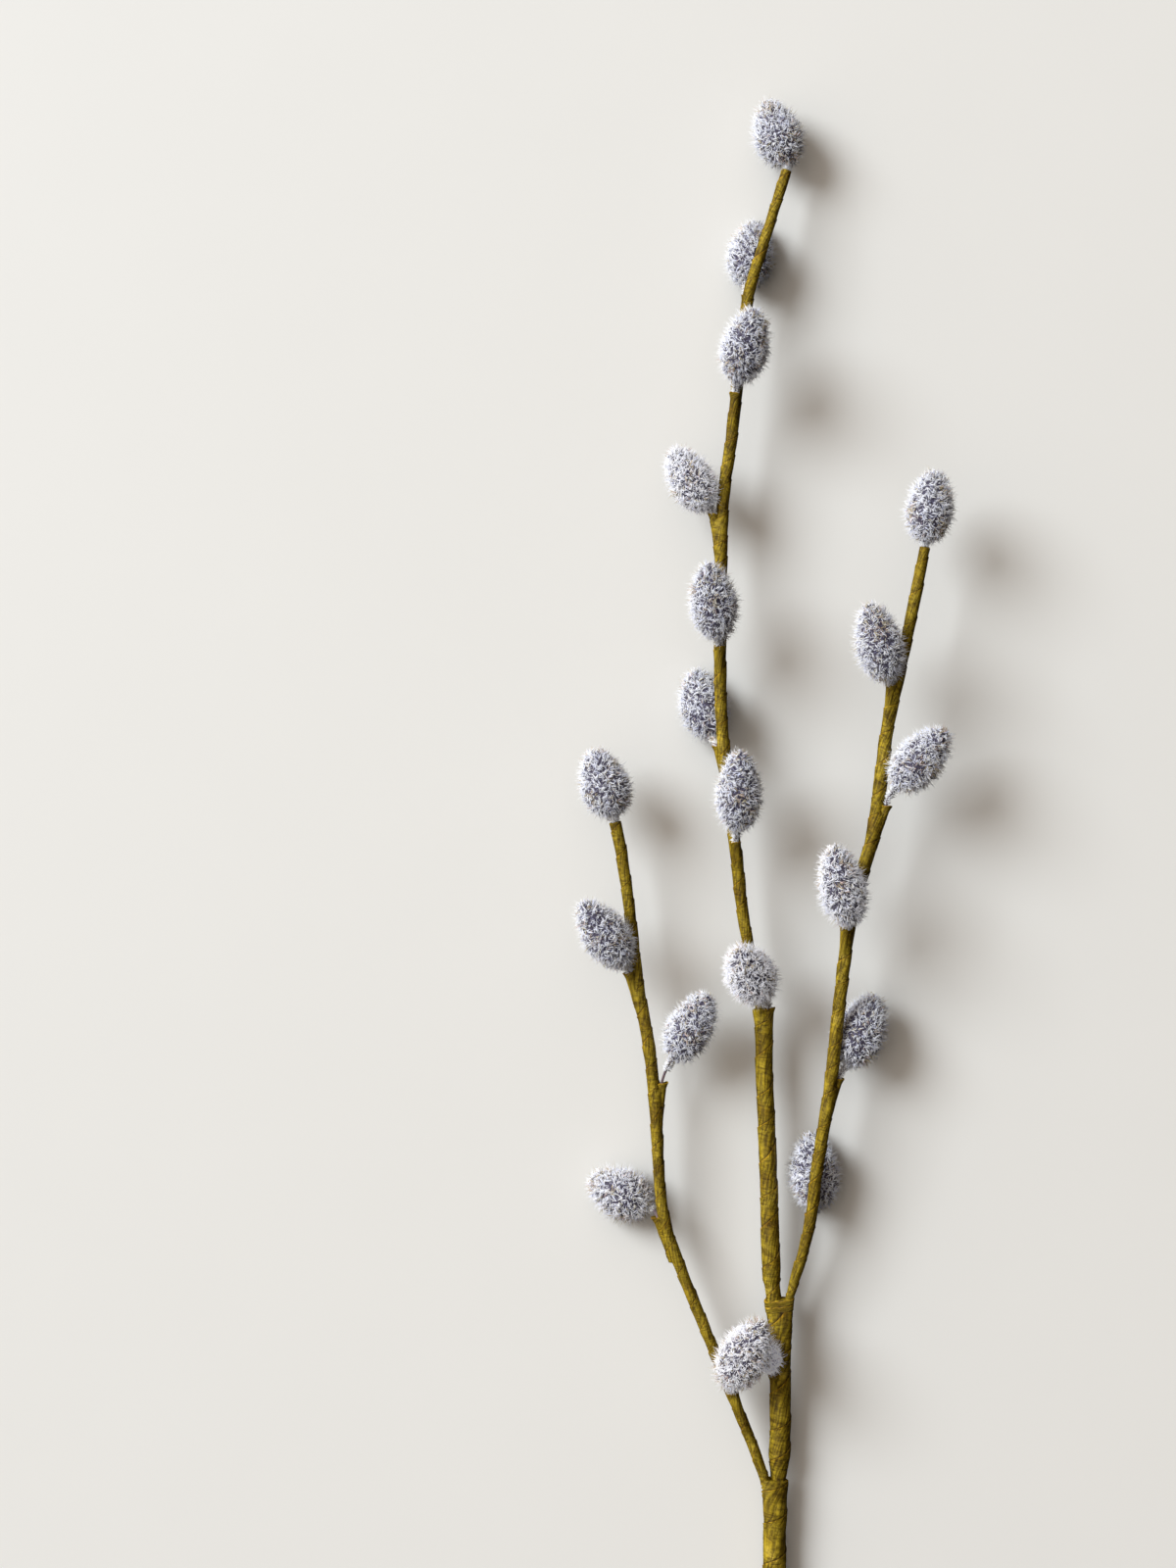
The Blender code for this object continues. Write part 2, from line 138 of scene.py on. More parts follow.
# Tint of the core, dark where the fur covers it: painted shade between the hairs
SHADED_CORE_TINT = 11
# Lighter core tint for the small lobe: painted light against the shade it lies in
LOBE_LIGHTENED_CORE_TINT = 3
# Catkins whose stalk shows bare above its cup
BARE_STALKS = ("left_catkin_3", "left_catkin_4")
# Share of extra brown hairs
BROWNED = {"left_catkin_4": 0.08, "left_catkin_5": 0.12}
# Share of pale hairs in the undercoat of each catkin that differs from the rest; the small lobe's share is raised past
# one, partly painted light against the shade it lies in
USUAL_PALE = 0.40
PALE = {
    "leader_catkin_1": 0.5, "leader_catkin_4": 0.9, "upper_stem_catkin": 1.0, "left_catkin_4": 0.8,
    "left_catkin_5": 1.0, "right_catkin_3": 0.6, "right_catkin_4": 0.8, "left_catkin_1": 0.4, "right_catkin_5": 0.5,
    "middle_stem_catkin": 1.4,
}
PALE_THICKER = 0.35
# How much fuller a catkin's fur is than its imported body
USUAL_FULLNESS = 1.06
FULLNESS = {
    "leader_catkin_1": 1.12, "upper_stem_catkin": 1.09, "left_catkin_4": 1.18, "left_catkin_5": 1.10,
    "left_catkin_1": 1.12, "right_catkin_5": 1.15, "right_catkin_6": 1.14,
    "middle_stem_catkin": 1.25,
}


# ---------- reading the frame ----------
def node_corners(node):
    """Gives the corners of a CAD node, each once."""
    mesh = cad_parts[node].data
    flat = np.empty(len(mesh.vertices) * 3, np.float32)
    mesh.vertices.foreach_get("co", flat)
    return np.unique(flat.reshape(-1, 3).astype(float).round(6), axis=0)


def unit(vectors):
    """Gives vectors of length one."""
    return vectors / np.linalg.norm(vectors, axis=-1, keepdims=True)


def wire_rings(node):
    """Gives the middle of each ring of a wire, from its foot up."""
    corners = node_corners(node)
    corners = corners[np.argsort(corners[:, 1])]
    breaks = np.nonzero(np.diff(corners[:, 1]) > 0.0003)[0] + 1
    return np.array([ring.mean(axis=0) for ring in np.split(corners, breaks)])


class Path:
    """A smooth line through points that rise along y."""

    def __init__(self, points):
        self.points = points
        self.slopes = np.gradient(points, points[:, 1], axis=0)

    def at(self, y):
        """Gives the points at the heights y, in a straight line past either end."""
        y = np.atleast_1d(y)
        inside = np.clip(y, self.points[0, 1], self.points[-1, 1])
        index = np.clip(np.searchsorted(self.points[:, 1], inside) - 1, 0, len(self.points) - 2)
        low = self.points[index]
        high = self.points[index + 1]
        span = (high - low)[:, 1:2]
        share = (inside[:, None] - low[:, 1:2]) / span
        rise = high - low
        leaving = self.slopes[index] * span - rise
        arriving = rise - self.slopes[index + 1] * span
        bend = share * (1 - share) * (leaving * (1 - share) + arriving * share)
        end_slope = np.where((y > self.points[-1, 1])[:, None], self.slopes[-1], self.slopes[0])
        return low + rise * share + bend + end_slope * (y - inside)[:, None]

    def along(self, y):
        """Gives the directions of the line at the heights y."""
        return unit(self.at(np.atleast_1d(y) + 0.0004) - self.at(np.atleast_1d(y) - 0.0004))


def egg_radius(share):
    """Gives a catkin's girth from its neck, 0, to its tip, 1, as a share of its largest."""
    turn = (NECK_SHARE + (1 - NECK_SHARE) * share) ** EGG_SKEW
    return np.sin(math.pi * np.clip(turn, 0, 1)) ** EGG_FULLNESS


def furry_radius(share):
    """Gives the girth of the fur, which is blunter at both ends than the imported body."""
    turn = (NECK_SHARE + (1 - NECK_SHARE) * share) ** EGG_SKEW
    blunt = np.clip((share - 0.35) / 0.5, 0, 1)
    neck = 0.42 + 0.58 * np.clip(share / 0.08, 0, 1)
    return neck * np.sin(math.pi * np.clip(turn, 0, 1)) ** (EGG_FULLNESS - 0.25 * blunt)


def volume_centre(node):
    """Gives the centre of volume of a closed CAD node."""
    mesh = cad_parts[node].data
    mesh.calc_loop_triangles()
    corners = np.array([[mesh.vertices[i].co for i in face.vertices] for face in mesh.loop_triangles])
    volumes = np.einsum("ij,ij->i", corners[:, 0], np.cross(corners[:, 1], corners[:, 2]))
    return (corners.sum(axis=1) * volumes[:, None]).sum(axis=0) / (4 * volumes.sum())


class Catkin:
    """The stalk's root, the way its cup faces, and the body of one packed catkin."""

    def __init__(self, node):
        self.node = node
        corners = node_corners(node)
        self.root = corners[np.argsort(corners[:, 1])[:CATKIN_SIDES]].mean(axis=0)
        far = np.linalg.norm(corners - self.root, axis=1)
        ring_reach = math.hypot(SOCKET_DEPTH, STALK_RADIUS)
        mouth = corners[np.argsort(np.abs(far - ring_reach))[:CATKIN_SIDES]].mean(axis=0)
        self.facing = unit(mouth - self.root)
        self.mouth = self.root + self.facing * SOCKET_DEPTH
        self.tip = corners[np.argsort(far)[-CATKIN_SIDES:]].mean(axis=0)
        shares = np.linspace(0, 1, 60)
        weights = egg_radius(shares) ** 2
        middle_share = (shares * weights).sum() / weights.sum()
        middle = volume_centre(node)
        self.base = middle + (middle - self.tip) * middle_share / (1 - middle_share)
        self.axis = self.tip - self.base
        way = unit(self.axis)
        from_base = corners - self.base
        beside = np.linalg.norm(from_base - np.outer(from_base @ way, way), axis=1)
        self.girth = np.sort(beside)[-4:].mean() / (1 + TUFT_HEIGHT)


catkins = {}
for node_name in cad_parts:
    if "catkin" in node_name:
        catkins[node_name] = Catkin(node_name)


def with_tip(rings, catkin):
    """Adds the last stretch below an end catkin to a wire's rings."""
    below = rings[rings[:, 1] < catkin.root[1] - 0.003]
    return Path(np.vstack([below, catkin.root, catkin.mouth]))


main_path = with_tip(wire_rings("main_wire"), catkins["leader_catkin_1"])
right_path = with_tip(wire_rings("right_wire"), catkins["right_catkin_1"])
left_path = with_tip(wire_rings("left_wire"), catkins["left_catkin_1"])
PATHS = {name: main_path for name in STRETCHES}
PATHS["right_branch"] = right_path
PATHS["left_branch"] = left_path


# ---------- shaping ----------
def section_axes(along):
    """Gives two axes across each direction, the first one pointing down."""
    down = np.array([0.0, 0.0, -1.0])
    first = unit(down - along * (along @ down)[:, None])
    return first, np.cross(along, first)


def roll_up(name, centres, along, angles, reach, tape, cell, lift=None):
    """Rolls a flat sheet round a line of centres, welds its edges and closes its ends.

    angles, reach and lift hold one value for each row and column of the sheet, the last column
    lying on the first. tape holds the pattern's coordinates and cell the corner of the baked
    texture that the sheet takes.
    """
    rows, columns = reach.shape
    bpy.ops.object.select_all(action="DESELECT")
    bpy.ops.mesh.primitive_grid_add(x_subdivisions=columns - 1, y_subdivisions=rows - 1, size=1)
    sheet = bpy.context.object
    sheet.name = name
    mesh = sheet.data
    mesh.name = name
    first, second = section_axes(along)
    outward = first[:, None] * np.cos(angles)[..., None] + second[:, None] * np.sin(angles)[..., None]
    places = centres[:, None] + outward * reach[..., None]
    if lift is not None:
        places = places + along[:, None] * lift[..., None]
    places[..., 2] = np.maximum(places[..., 2], 0.0)
    corner_of_loop = np.empty(len(mesh.loops), np.int32)
    mesh.loops.foreach_get("vertex_index", corner_of_loop)
    bake = mesh.uv_layers.active
    bake.name = "OFBake"
    flat = np.empty(len(mesh.loops) * 2, np.float32)
    bake.data.foreach_get("uv", flat)
    squares = flat.reshape(-1, 2)
    low = np.array(cell[:2])
    squares = low + squares * (np.array(cell[2:]) - low)
    bake.data.foreach_set("uv", squares.astype(np.float32).ravel())
    pattern = mesh.uv_layers.new(name="tape")
    pattern.data.foreach_set("uv", tape.reshape(-1, 2)[corner_of_loop].astype(np.float32).ravel())
    mesh.vertices.foreach_set("co", places.reshape(-1, 3).astype(np.float32).ravel())
    mesh.update()
    bpy.ops.object.mode_set(mode="EDIT")
    bpy.ops.mesh.select_all(action="SELECT")
    bpy.ops.mesh.remove_doubles(threshold=0.000002)
    bpy.ops.mesh.fill_holes(sides=0)
    bpy.ops.object.mode_set(mode="OBJECT")
    return sheet


def join(pieces):
    """Joins pieces into the first of them."""
    bpy.ops.object.select_all(action="DESELECT")
    for piece in pieces:
        piece.select_set(True)
    bpy.context.view_layer.objects.active = pieces[0]
    bpy.ops.object.join()
    return pieces[0]


def bulge(reach, angles, radius, offset_along_first, offset_along_second, bulge_radius):
    """Stretches round sections over a second round one beside them, as tape wound round both."""
    distance = np.hypot(offset_along_first, offset_along_second)
    way = np.arctan2(offset_along_second, offset_along_first)
    turned = np.abs((angles - way[:, None] + math.pi) % (2 * math.pi) - math.pi)
    shown = distance + bulge_radius > radius
    safe = np.where(shown, distance, 1.0)
    touch = np.arccos(np.clip((radius - bulge_radius) / safe, -1, 1))
    far_touch = np.arctan2(bulge_radius * np.sin(touch), safe + bulge_radius * np.cos(touch))
    across = safe[:, None] * np.sin(turned)
    nose = safe[:, None] * np.cos(turned)
    nose = nose + np.sqrt(np.clip(bulge_radius[:, None] ** 2 - across ** 2, 0, None))
    tangent = radius[:, None] / np.cos(np.clip(touch[:, None] - turned, 0, 1.4))
    over = np.where(turned < far_touch[:, None], nose, tangent)
    over = np.where(turned < touch[:, None], over, radius[:, None])
    return np.where(shown[:, None], np.maximum(reach, over + (reach - radius[:, None])), reach)


def beside(path, centres, along, points):
    """Gives how far points lie from the centres along the two axes of each section."""
    first, second = section_axes(along)
    gap = points - centres
    return (gap * first).sum(axis=1), (gap * second).sum(axis=1)


def wrap_section(name, levels, angles):
    """Gives the reach of a stretch's wrap at its levels, over its sleeve and its cups."""
    radii, _ = STRETCHES[name]
    path = PATHS[name]
    centres = path.at(levels)
    along = path.along(levels)
    radius = np.interp(levels, [y for y, _ in radii], [r for _, r in radii])
    reach = np.repeat(radius[:, None], angles.shape[1], axis=1)
    if name in SLEEVES:
        branch, foot = SLEEVES[name]
        aside = beside(path, centres, along, PATHS[branch].at(levels))
        ease = np.clip((levels - foot) / 0.010, 0, 1)
        sleeve = SLEEVE_RADIUS * (0.6 + 0.4 * ease)
        aside = [part * np.where(levels > foot, 1, 0) for part in aside]
        reach = bulge(reach, angles, radius, aside[0], aside[1], sleeve)
    for catkin in catkins_on(name):
        depth = (catkin.mouth[1] - levels) / catkin.facing[1]
        axis_points = catkin.mouth - catkin.facing * depth[:, None]
        aside = beside(path, centres, along, axis_points)
        shown = (depth > CUP_RIM_LENGTH * 0.6) & (depth < CUP_LENGTH)
        cup = np.interp(depth, [CUP_RIM_LENGTH, CUP_LENGTH], [CUP_RADIUS, CUP_FOOT_RADIUS])
        aside = [part * np.where(shown, 1, 0) for part in aside]
        reach = bulge(reach, angles, radius, aside[0], aside[1], np.where(shown, cup, 0.0001))
    return centres, along, reach


def catkins_on(stretch):
    """Gives the catkins that stand in side cups of a stretch."""
    return [
        catkin
        for node, catkin in catkins.items()
        if CARRIERS[node.rstrip("_0123456789")] == stretch and node not in END_CATKINS.values()
    ]


def lumps(places, seed):
    """Gives the low uneven lumps of hand-wound tape at each place."""
    shift = Vector((seed * 3.1, seed * 1.7, 0.0))
    values = [noise.noise(Vector(place) * LUMP_SCALE + shift) for place in places.reshape(-1, 3)]
    return np.array(values).reshape(places.shape[:-1])


def wrapped_stem(name, seed):
    """Makes one stretch of paper wrap, as one strip of tape wound up the wire."""
    radii, rise = STRETCHES[name]
    start = radii[0][0]
    end = radii[-1][0] - JOINT_GAP
    has_foot = name != "lower_stem"
    low = start - FOOT_INSET if has_foot else start
    count = int((end - low) / RING_STEP)
    levels = np.linspace(low, end, count + 1)
    wobble = 0.10 * np.sin(levels / 0.0041 + seed) + 0.06 * np.sin(levels / 0.0017 + 2 * seed)
    turns = (levels - low) / rise + wobble + 0.37 * seed
    shares = np.append(np.arange(SIDES + 1) / SIDES, 1.0)
    angles = 2 * math.pi * (turns[:, None] + shares[None])
    centres, along, reach = wrap_section(name, levels, angles)
    first, second = section_axes(along)
    outward = first[:, None] * np.cos(angles)[..., None] + second[:, None] * np.sin(angles)[..., None]
    places = centres[:, None] + outward * reach[..., None]
    fade = np.clip((levels - low) / 0.002, 0, 1) * np.clip((end - levels) / 0.001, 0, 1)
    if not has_foot:
        fade = np.clip((end - levels) / 0.001, 0, 1)
    step = (0.5 - shares) * TAPE_THICKNESS
    step[-1] = step[0]
    rolled_edge = np.exp(-shares / 0.05) * 0.00006
    rolled_edge[-1] = rolled_edge[0]
    uneven = lumps(places, seed)
    uneven[:, -1] = uneven[:, 0]
    reach = reach + (step + rolled_edge)[None] * fade[:, None] + uneven * LUMP_HEIGHT
    reach[:, -1] = reach[:, 0]
    # Place across the tape's width, which the paper paints lighter on the raised side of each step and darker at its
    # foot: painted highlight and shade
    tape = np.stack(np.broadcast_arrays(shares[None], turns[:, None]), axis=-1)
    lift = np.zeros_like(reach)
    ends = []
    if not has_foot:
        ends.append((0, 0.0, 0.94, 0.0))
    rows = [(reach, lift, centres, along, angles, tape)]

    def end_row(index, share, depth, floor):
        """Gives one more row at an end, drawn in to a share of its reach and shifted along."""
        drawn = np.maximum(reach[index] * share, floor)
        return (
            drawn[None], np.full_like(drawn, depth)[None], centres[index][None], along[index][None],
            angles[index][None], tape[index][None],
        )

    if not has_foot:
        rows.insert(0, end_row(0, 0.95, -0.00012, 0.0))
        rows.insert(0, end_row(0, 0.60, -0.00006, 0.0))
        rows.insert(0, end_row(0, 0.0, 0.0, 0.00085))
        rows.insert(0, end_row(0, 0.0, 0.0015, 0.00085))
    if name in END_CATKINS:
        rows.append(end_row(-1, 0.97, 0.0003, 0.0))
        rows.append(end_row(-1, 0.80, 0.0004, 0.0))
        rows.append(end_row(-1, 0.62, 0.0002, 0.0))
        rows.append(end_row(-1, 0.50, -0.0020, 0.0))
    else:
        rows.append(end_row(-1, 0.96, 0.0002, 0.0))
        rows.append(end_row(-1, 0.85, 0.0003, 0.0))
        rows.append(end_row(-1, 0.60, 0.00022, 0.0))
    reach, lift, centres, along, angles, tape = [np.concatenate(parts) for parts in zip(*rows)]
    return roll_up(name + "_wrap", centres, along, angles, reach, tape, (0.0, 0.0, 0.78, 1.0), lift)


def tape_band(name, stretch, low, tilt, cell):
    """Makes a narrow band of tape round a stretch just below a fork."""
    # Share of the band's width, height above the wrap, and place on the tape, whose edges are 0 and 1; the paper is
    # painted lighter at 0, a highlight along the band's upper side, and darker at 1, a painted shadow under its lower
    # side
    profile = [
        (0.0, 0.0, 1.0), (0.0, BAND_THICKNESS, 1.0), (0.16, BAND_THICKNESS * 1.2, 0.95),
        (0.5, BAND_THICKNESS * 0.9, 0.5), (0.78, BAND_THICKNESS * 1.3, 0.05), (1.0, BAND_THICKNESS, 0.0),
        (1.0, 0.0, 0.0),
    ]
    levels = np.array([low + share * BAND_WIDTH for share, _, _ in profile])
    sides = 40
    angles = np.repeat(2 * math.pi * np.arange(sides + 1)[None] / sides, len(levels), axis=0)
    centres, along, reach = wrap_section(stretch, levels, angles)
    reach = reach + np.array([height for _, height, _ in profile])[:, None]
    reach[0] -= 0.0004
    reach[-1] -= 0.0004
    lift = tilt * np.sin(angles + 1.0) + 0.00008 * np.sin(3 * angles + low * 4000)
    reach[:, -1] = reach[:, 0]
    lift[:, -1] = lift[:, 0]
    shares = angles / (2 * math.pi)
    edges = np.array([edge_light_and_shade for _, _, edge_light_and_shade in profile])
    tape = np.stack(np.broadcast_arrays(edges[:, None], shares), axis=-1)
    return roll_up(name, centres, along, angles, reach, tape, cell, lift)


def paper_cup(name, catkin, stem_point, cell, seed):
    """Makes the rolled paper cup that holds a stalk, its lip flared away from the stem."""
    # Depth below the mouth, radius, share of the lip's flare, and place on the tape, whose edges are 0 and 1; this
    # place paints the lip lighter, a painted highlight, and the inside darker, painted shade
    rows = [
        (0.0085, CUP_FOOT_RADIUS, 0.0, 0.50), (0.0060, 0.00118, 0.0, 0.45), (0.0035, CUP_RADIUS, 0.0, 0.40),
        (0.0015, CUP_RADIUS * 1.04, 0.2, 0.30), (0.0006, CUP_RADIUS * 1.12, 0.7, 0.12),
        (0.0, CUP_RADIUS * 1.22, 1.0, 0.0), (-0.0001, CUP_RADIUS * 1.16, 1.0, 0.0),
        (0.0, CUP_RADIUS * 1.0, 0.95, 0.0), (0.0006, CUP_RADIUS * 0.84, 0.5, 0.99),
        (0.0020, CUP_RADIUS * 0.74, 0.0, 0.99), (0.0034, CUP_RADIUS * 0.60, 0.0, 0.99),
    ]
    depths = np.array([row[0] for row in rows])
    centres = catkin.mouth - catkin.facing * depths[:, None]
    along = np.repeat(catkin.facing[None], len(rows), axis=0)
    angles = np.repeat(2 * math.pi * np.arange(CUP_SIDES + 1)[None] / CUP_SIDES, len(rows), axis=0)
    first, second = section_axes(along)
    away = catkin.mouth - stem_point
    outer_angle = math.atan2(away @ second[0], away @ first[0])
    outer_side = 0.5 + 0.5 * np.cos(angles - outer_angle)
    ragged = 0.5 * np.sin(3 * angles + seed) + 0.5 * np.sin(5 * angles + 2.3 * seed)
    lip = np.array([row[2] for row in rows])[:, None]
    reach = np.array([row[1] for row in rows])[:, None] + lip * outer_side * 0.00044
    lift = lip * (0.0007 * outer_side - 0.0003 + 0.00018 * ragged)
    reach[:, -1] = reach[:, 0]
    lift[:, -1] = lift[:, 0]
    edge_light_and_shade = np.array([row[3] for row in rows])
    tape = np.stack(np.broadcast_arrays(edge_light_and_shade[:, None], angles / math.tau + seed), axis=-1)
    return roll_up(name, centres, along, angles, reach, tape, cell, lift)


# ---------- fur ----------
def model_strand(cuts):
    """Models one straight hair, three-sided and tapered, and gives its corners and faces."""
    bpy.ops.object.select_all(action="DESELECT")
    bpy.ops.mesh.primitive_cone_add(vertices=3, radius1=1, radius2=0, depth=1, location=(0, 0, 0.5))
    hair = bpy.context.object
    bpy.ops.object.mode_set(mode="EDIT")
    for height in cuts:
        bpy.ops.mesh.select_all(action="SELECT")
        bpy.ops.mesh.bisect(plane_co=(0, 0, height), plane_no=(0, 0, 1))
    bpy.ops.object.mode_set(mode="OBJECT")
    bpy.ops.object.transform_apply(location=True)
    corners = np.array([corner.co for corner in hair.data.vertices], float)
    faces = [tuple(face.vertices) for face in hair.data.polygons]
    bpy.data.objects.remove(hair, do_unlink=True)
    side = np.round(np.arctan2(corners[:, 1], corners[:, 0]) / (2 * math.pi / 3)).astype(int) % 3
    turn = np.arctan2(corners[:, 1], corners[:, 0])
    at_tip = corners[:, 2] > 0.999
    return corners[:, 2], turn, side, at_tip, faces


LONG_STRAND = model_strand((0.34, 0.70))
SHORT_STRAND = model_strand((0.55,))
TAPERED = (1.0, 0.9, 0.0)

FULL = (0.8, 1.0, 0.8, 0.0)


class Layer(NamedTuple):
    """One layer of hair. Pairs are a least and a greatest value."""

    strand: tuple
    widths: tuple  # thickness from root to tip
    locks: int  # number of locks
    lock: int  # hairs in a lock
    tints: tuple
    thick: tuple  # half thickness
    lean: tuple  # from upright
    curl: tuple  # further lean along the hair
    heading: float  # greatest turn away from the tip
    reach: tuple  # length as a share of the fur's depth


UNDERCOAT = Layer(SHORT_STRAND, TAPERED, 1100, 1, (0, 4), (0.00009, 0.000135), (0.2, 1.0), (0.2, 1.4), math.pi, (1.0, 1.5))
CURLS = Layer(LONG_STRAND, FULL, 345, 3, BRIGHT_TINTS, (0.00010, 0.00015), (0.2, 0.9), (0.4, 2.0), math.pi, (1.5, 2.3))
WISPS = Layer(SHORT_STRAND, TAPERED, 300, 3, BRIGHT_TINTS, (0.00006, 0.00010), (0.1, 0.9), (0.0, 1.4), math.pi, (1.5, 2.2))
HALO = Layer(SHORT_STRAND, TAPERED, 640, 1, (5, 7), (0.00004, 0.00006), (0.0, 0.5), (-0.2, 0.7), math.pi, (2.0, 3.1))
STALK_FUZZ = Layer(SHORT_STRAND, TAPERED, 70, 3, (5, 7), (0.00008, 0.00012), (0.0, 0.8), (0.1, 0.9), 1.0, (1.5, 2.7))
BODY_LAYERS = [UNDERCOAT, CURLS, WISPS, HALO]
LOCK_SPREAD = 0.00012
LOCK_TURN = 0.25


class Coat:
    """The spine, skin and fur depth of one catkin, from its stalk's root to its tip."""

    def __init__(self, catkin, bare_stalk):
        self.catkin = catkin
        reach = np.linalg.norm(catkin.base - catkin.root) / 3
        way = unit(catkin.axis)
        stalk = [catkin.root]
        for share in np.linspace(0, 1, STALK_ROWS, endpoint=False):
            leaving = catkin.mouth + catkin.facing * reach * share
            arriving = catkin.base - way * reach * (1 - share)
            stalk.append(leaving + (arriving - leaving) * share)
        shares = np.linspace(0, 1, CORE_ROWS)
        shares = (shares + 0.5 - 0.5 * np.cos(math.pi * shares)) / 2
        girth = catkin.girth * FULLNESS.get(catkin.node, USUAL_FULLNESS)
        body_fur = np.maximum(furry_radius(shares) * girth, 0.0006)
        depth = np.minimum(FUR_DEPTH, body_fur * 0.55)
        body = catkin.base + np.outer(shares, catkin.axis) * (1 - 0.8 * FUR_DEPTH / np.linalg.norm(catkin.axis))
        self.centres = np.vstack([stalk, body])
        neck = furry_radius(0.0) * girth
        stalk_shares = np.append(0.0, np.linspace(0, 1, STALK_ROWS, endpoint=False))
        stalk_fur = STALK_RADIUS + (neck - STALK_RADIUS) * stalk_shares ** 3
        stalk_skin = STALK_RADIUS * 0.8 + (neck - depth[0]) * stalk_shares ** 5
        self.skin = np.concatenate([stalk_skin, np.maximum(body_fur - depth, 0.0002)])
        self.fur_depth = np.concatenate([np.maximum(stalk_fur - stalk_skin, STALK_FUR), depth])
        self.along = unit(np.gradient(self.centres, axis=0))
        steps = np.linalg.norm(np.diff(self.centres, axis=0), axis=1)
        self.run = np.append(0.0, np.cumsum(steps))
        self.body_start = 1 + STALK_ROWS
        self.slope = np.gradient(self.skin, self.run)
        self.bare_rows = 6 if bare_stalk else 1

    def core(self, name, cell):
        """Makes the smooth core and stalk under the fur, the core dark as painted shade between the hairs."""
        rows = len(self.centres)
        angles = np.repeat(2 * math.pi * np.arange(CORE_SIDES + 1)[None] / CORE_SIDES, rows, axis=0)
        reach = np.repeat(self.skin[:, None], CORE_SIDES + 1, axis=1)
        tape = np.stack(np.broadcast_arrays(angles, self.run[:, None]), axis=-1)
        return roll_up(name, self.centres, self.along, angles, reach, tape, cell)

    def roots(self, rng, count, first_row, last_row):
        """Scatters roots evenly over the skin between two rows, and gives each one's frame."""
        rows = np.arange(first_row, last_row)
        steps = self.run[rows + 1] - self.run[rows]
        rise = self.skin[rows + 1] - self.skin[rows]
        area = np.hypot(steps, rise) * (self.skin[rows] + self.skin[rows + 1] + 0.001)
        total = np.append(0.0, np.cumsum(area))
        picks = (np.arange(count) + rng.uniform(0, 1, count)) / count * total[-1]
        level = np.interp(picks, total, np.append(rows, last_row))
        turn = np.arange(count) * 2.39996 + rng.normal(0, 0.25, count)
        low = np.minimum(level.astype(int), len(self.skin) - 2)
        part = (level - low)[:, None]
        centre = self.centres[low] * (1 - part) + self.centres[low + 1] * part
        along = unit(self.along[low] * (1 - part) + self.along[low + 1] * part)
        skin = np.interp(level, np.arange(len(self.skin)), self.skin)
        slope = np.interp(level, np.arange(len(self.skin)), self.slope)
        first, second = section_axes(along)
        radial = first * np.cos(turn)[:, None] + second * np.sin(turn)[:, None]
        tilt = np.arctan(slope)
        outward = radial * np.cos(tilt)[:, None] - along * np.sin(tilt)[:, None]
        tipward = along * np.cos(tilt)[:, None] + radial * np.sin(tilt)[:, None]
        place = centre + radial * (skin * 0.93)[:, None]
        depth = np.interp(level, np.arange(len(self.skin)), self.fur_depth)
        share = (level - self.body_start) / (CORE_ROWS - 1)
        return place, outward, tipward, np.cross(outward, tipward), depth, share


def grow(strand, roots, length, width, lean, curl, sway, swirl, widths):
    """Gives the corners of bent copies of a strand, one on each root."""
    heights, turns, _, at_tip, _ = strand
    place, outward, tipward, sideways = roots
    levels = np.unique(heights.round(4))
    steps = len(levels) - 1
    points = [place]
    ways = []
    for step in range(steps):
        middle = (levels[step] + levels[step + 1]) / 2
        tilt = lean + curl * middle
        swing = sway + swirl * middle
        ahead = tipward * np.cos(swing)[:, None] + sideways * np.sin(swing)[:, None]
        way = outward * np.cos(tilt)[:, None] + ahead * np.sin(tilt)[:, None]
        ways.append(way)
        points.append(points[-1] + way * (length * (levels[step + 1] - levels[step]))[:, None])
    corners = np.empty((len(place), len(heights), 3))
    for corner, height in enumerate(heights):
        row = int(np.argmin(np.abs(levels - height)))
        way = ways[min(row, steps - 1)] if row == 0 else unit(ways[row - 1] + ways[min(row, steps - 1)])
        across = unit(np.cross(way, sideways + outward * 0.31))
        other = np.cross(way, across)
        spread = 0.0 if at_tip[corner] else widths[row]
        turn = turns[corner]
        offset = across * math.cos(turn) + other * math.sin(turn)
        corners[:, corner] = points[row] + offset * (width * spread)[:, None]
    return corners


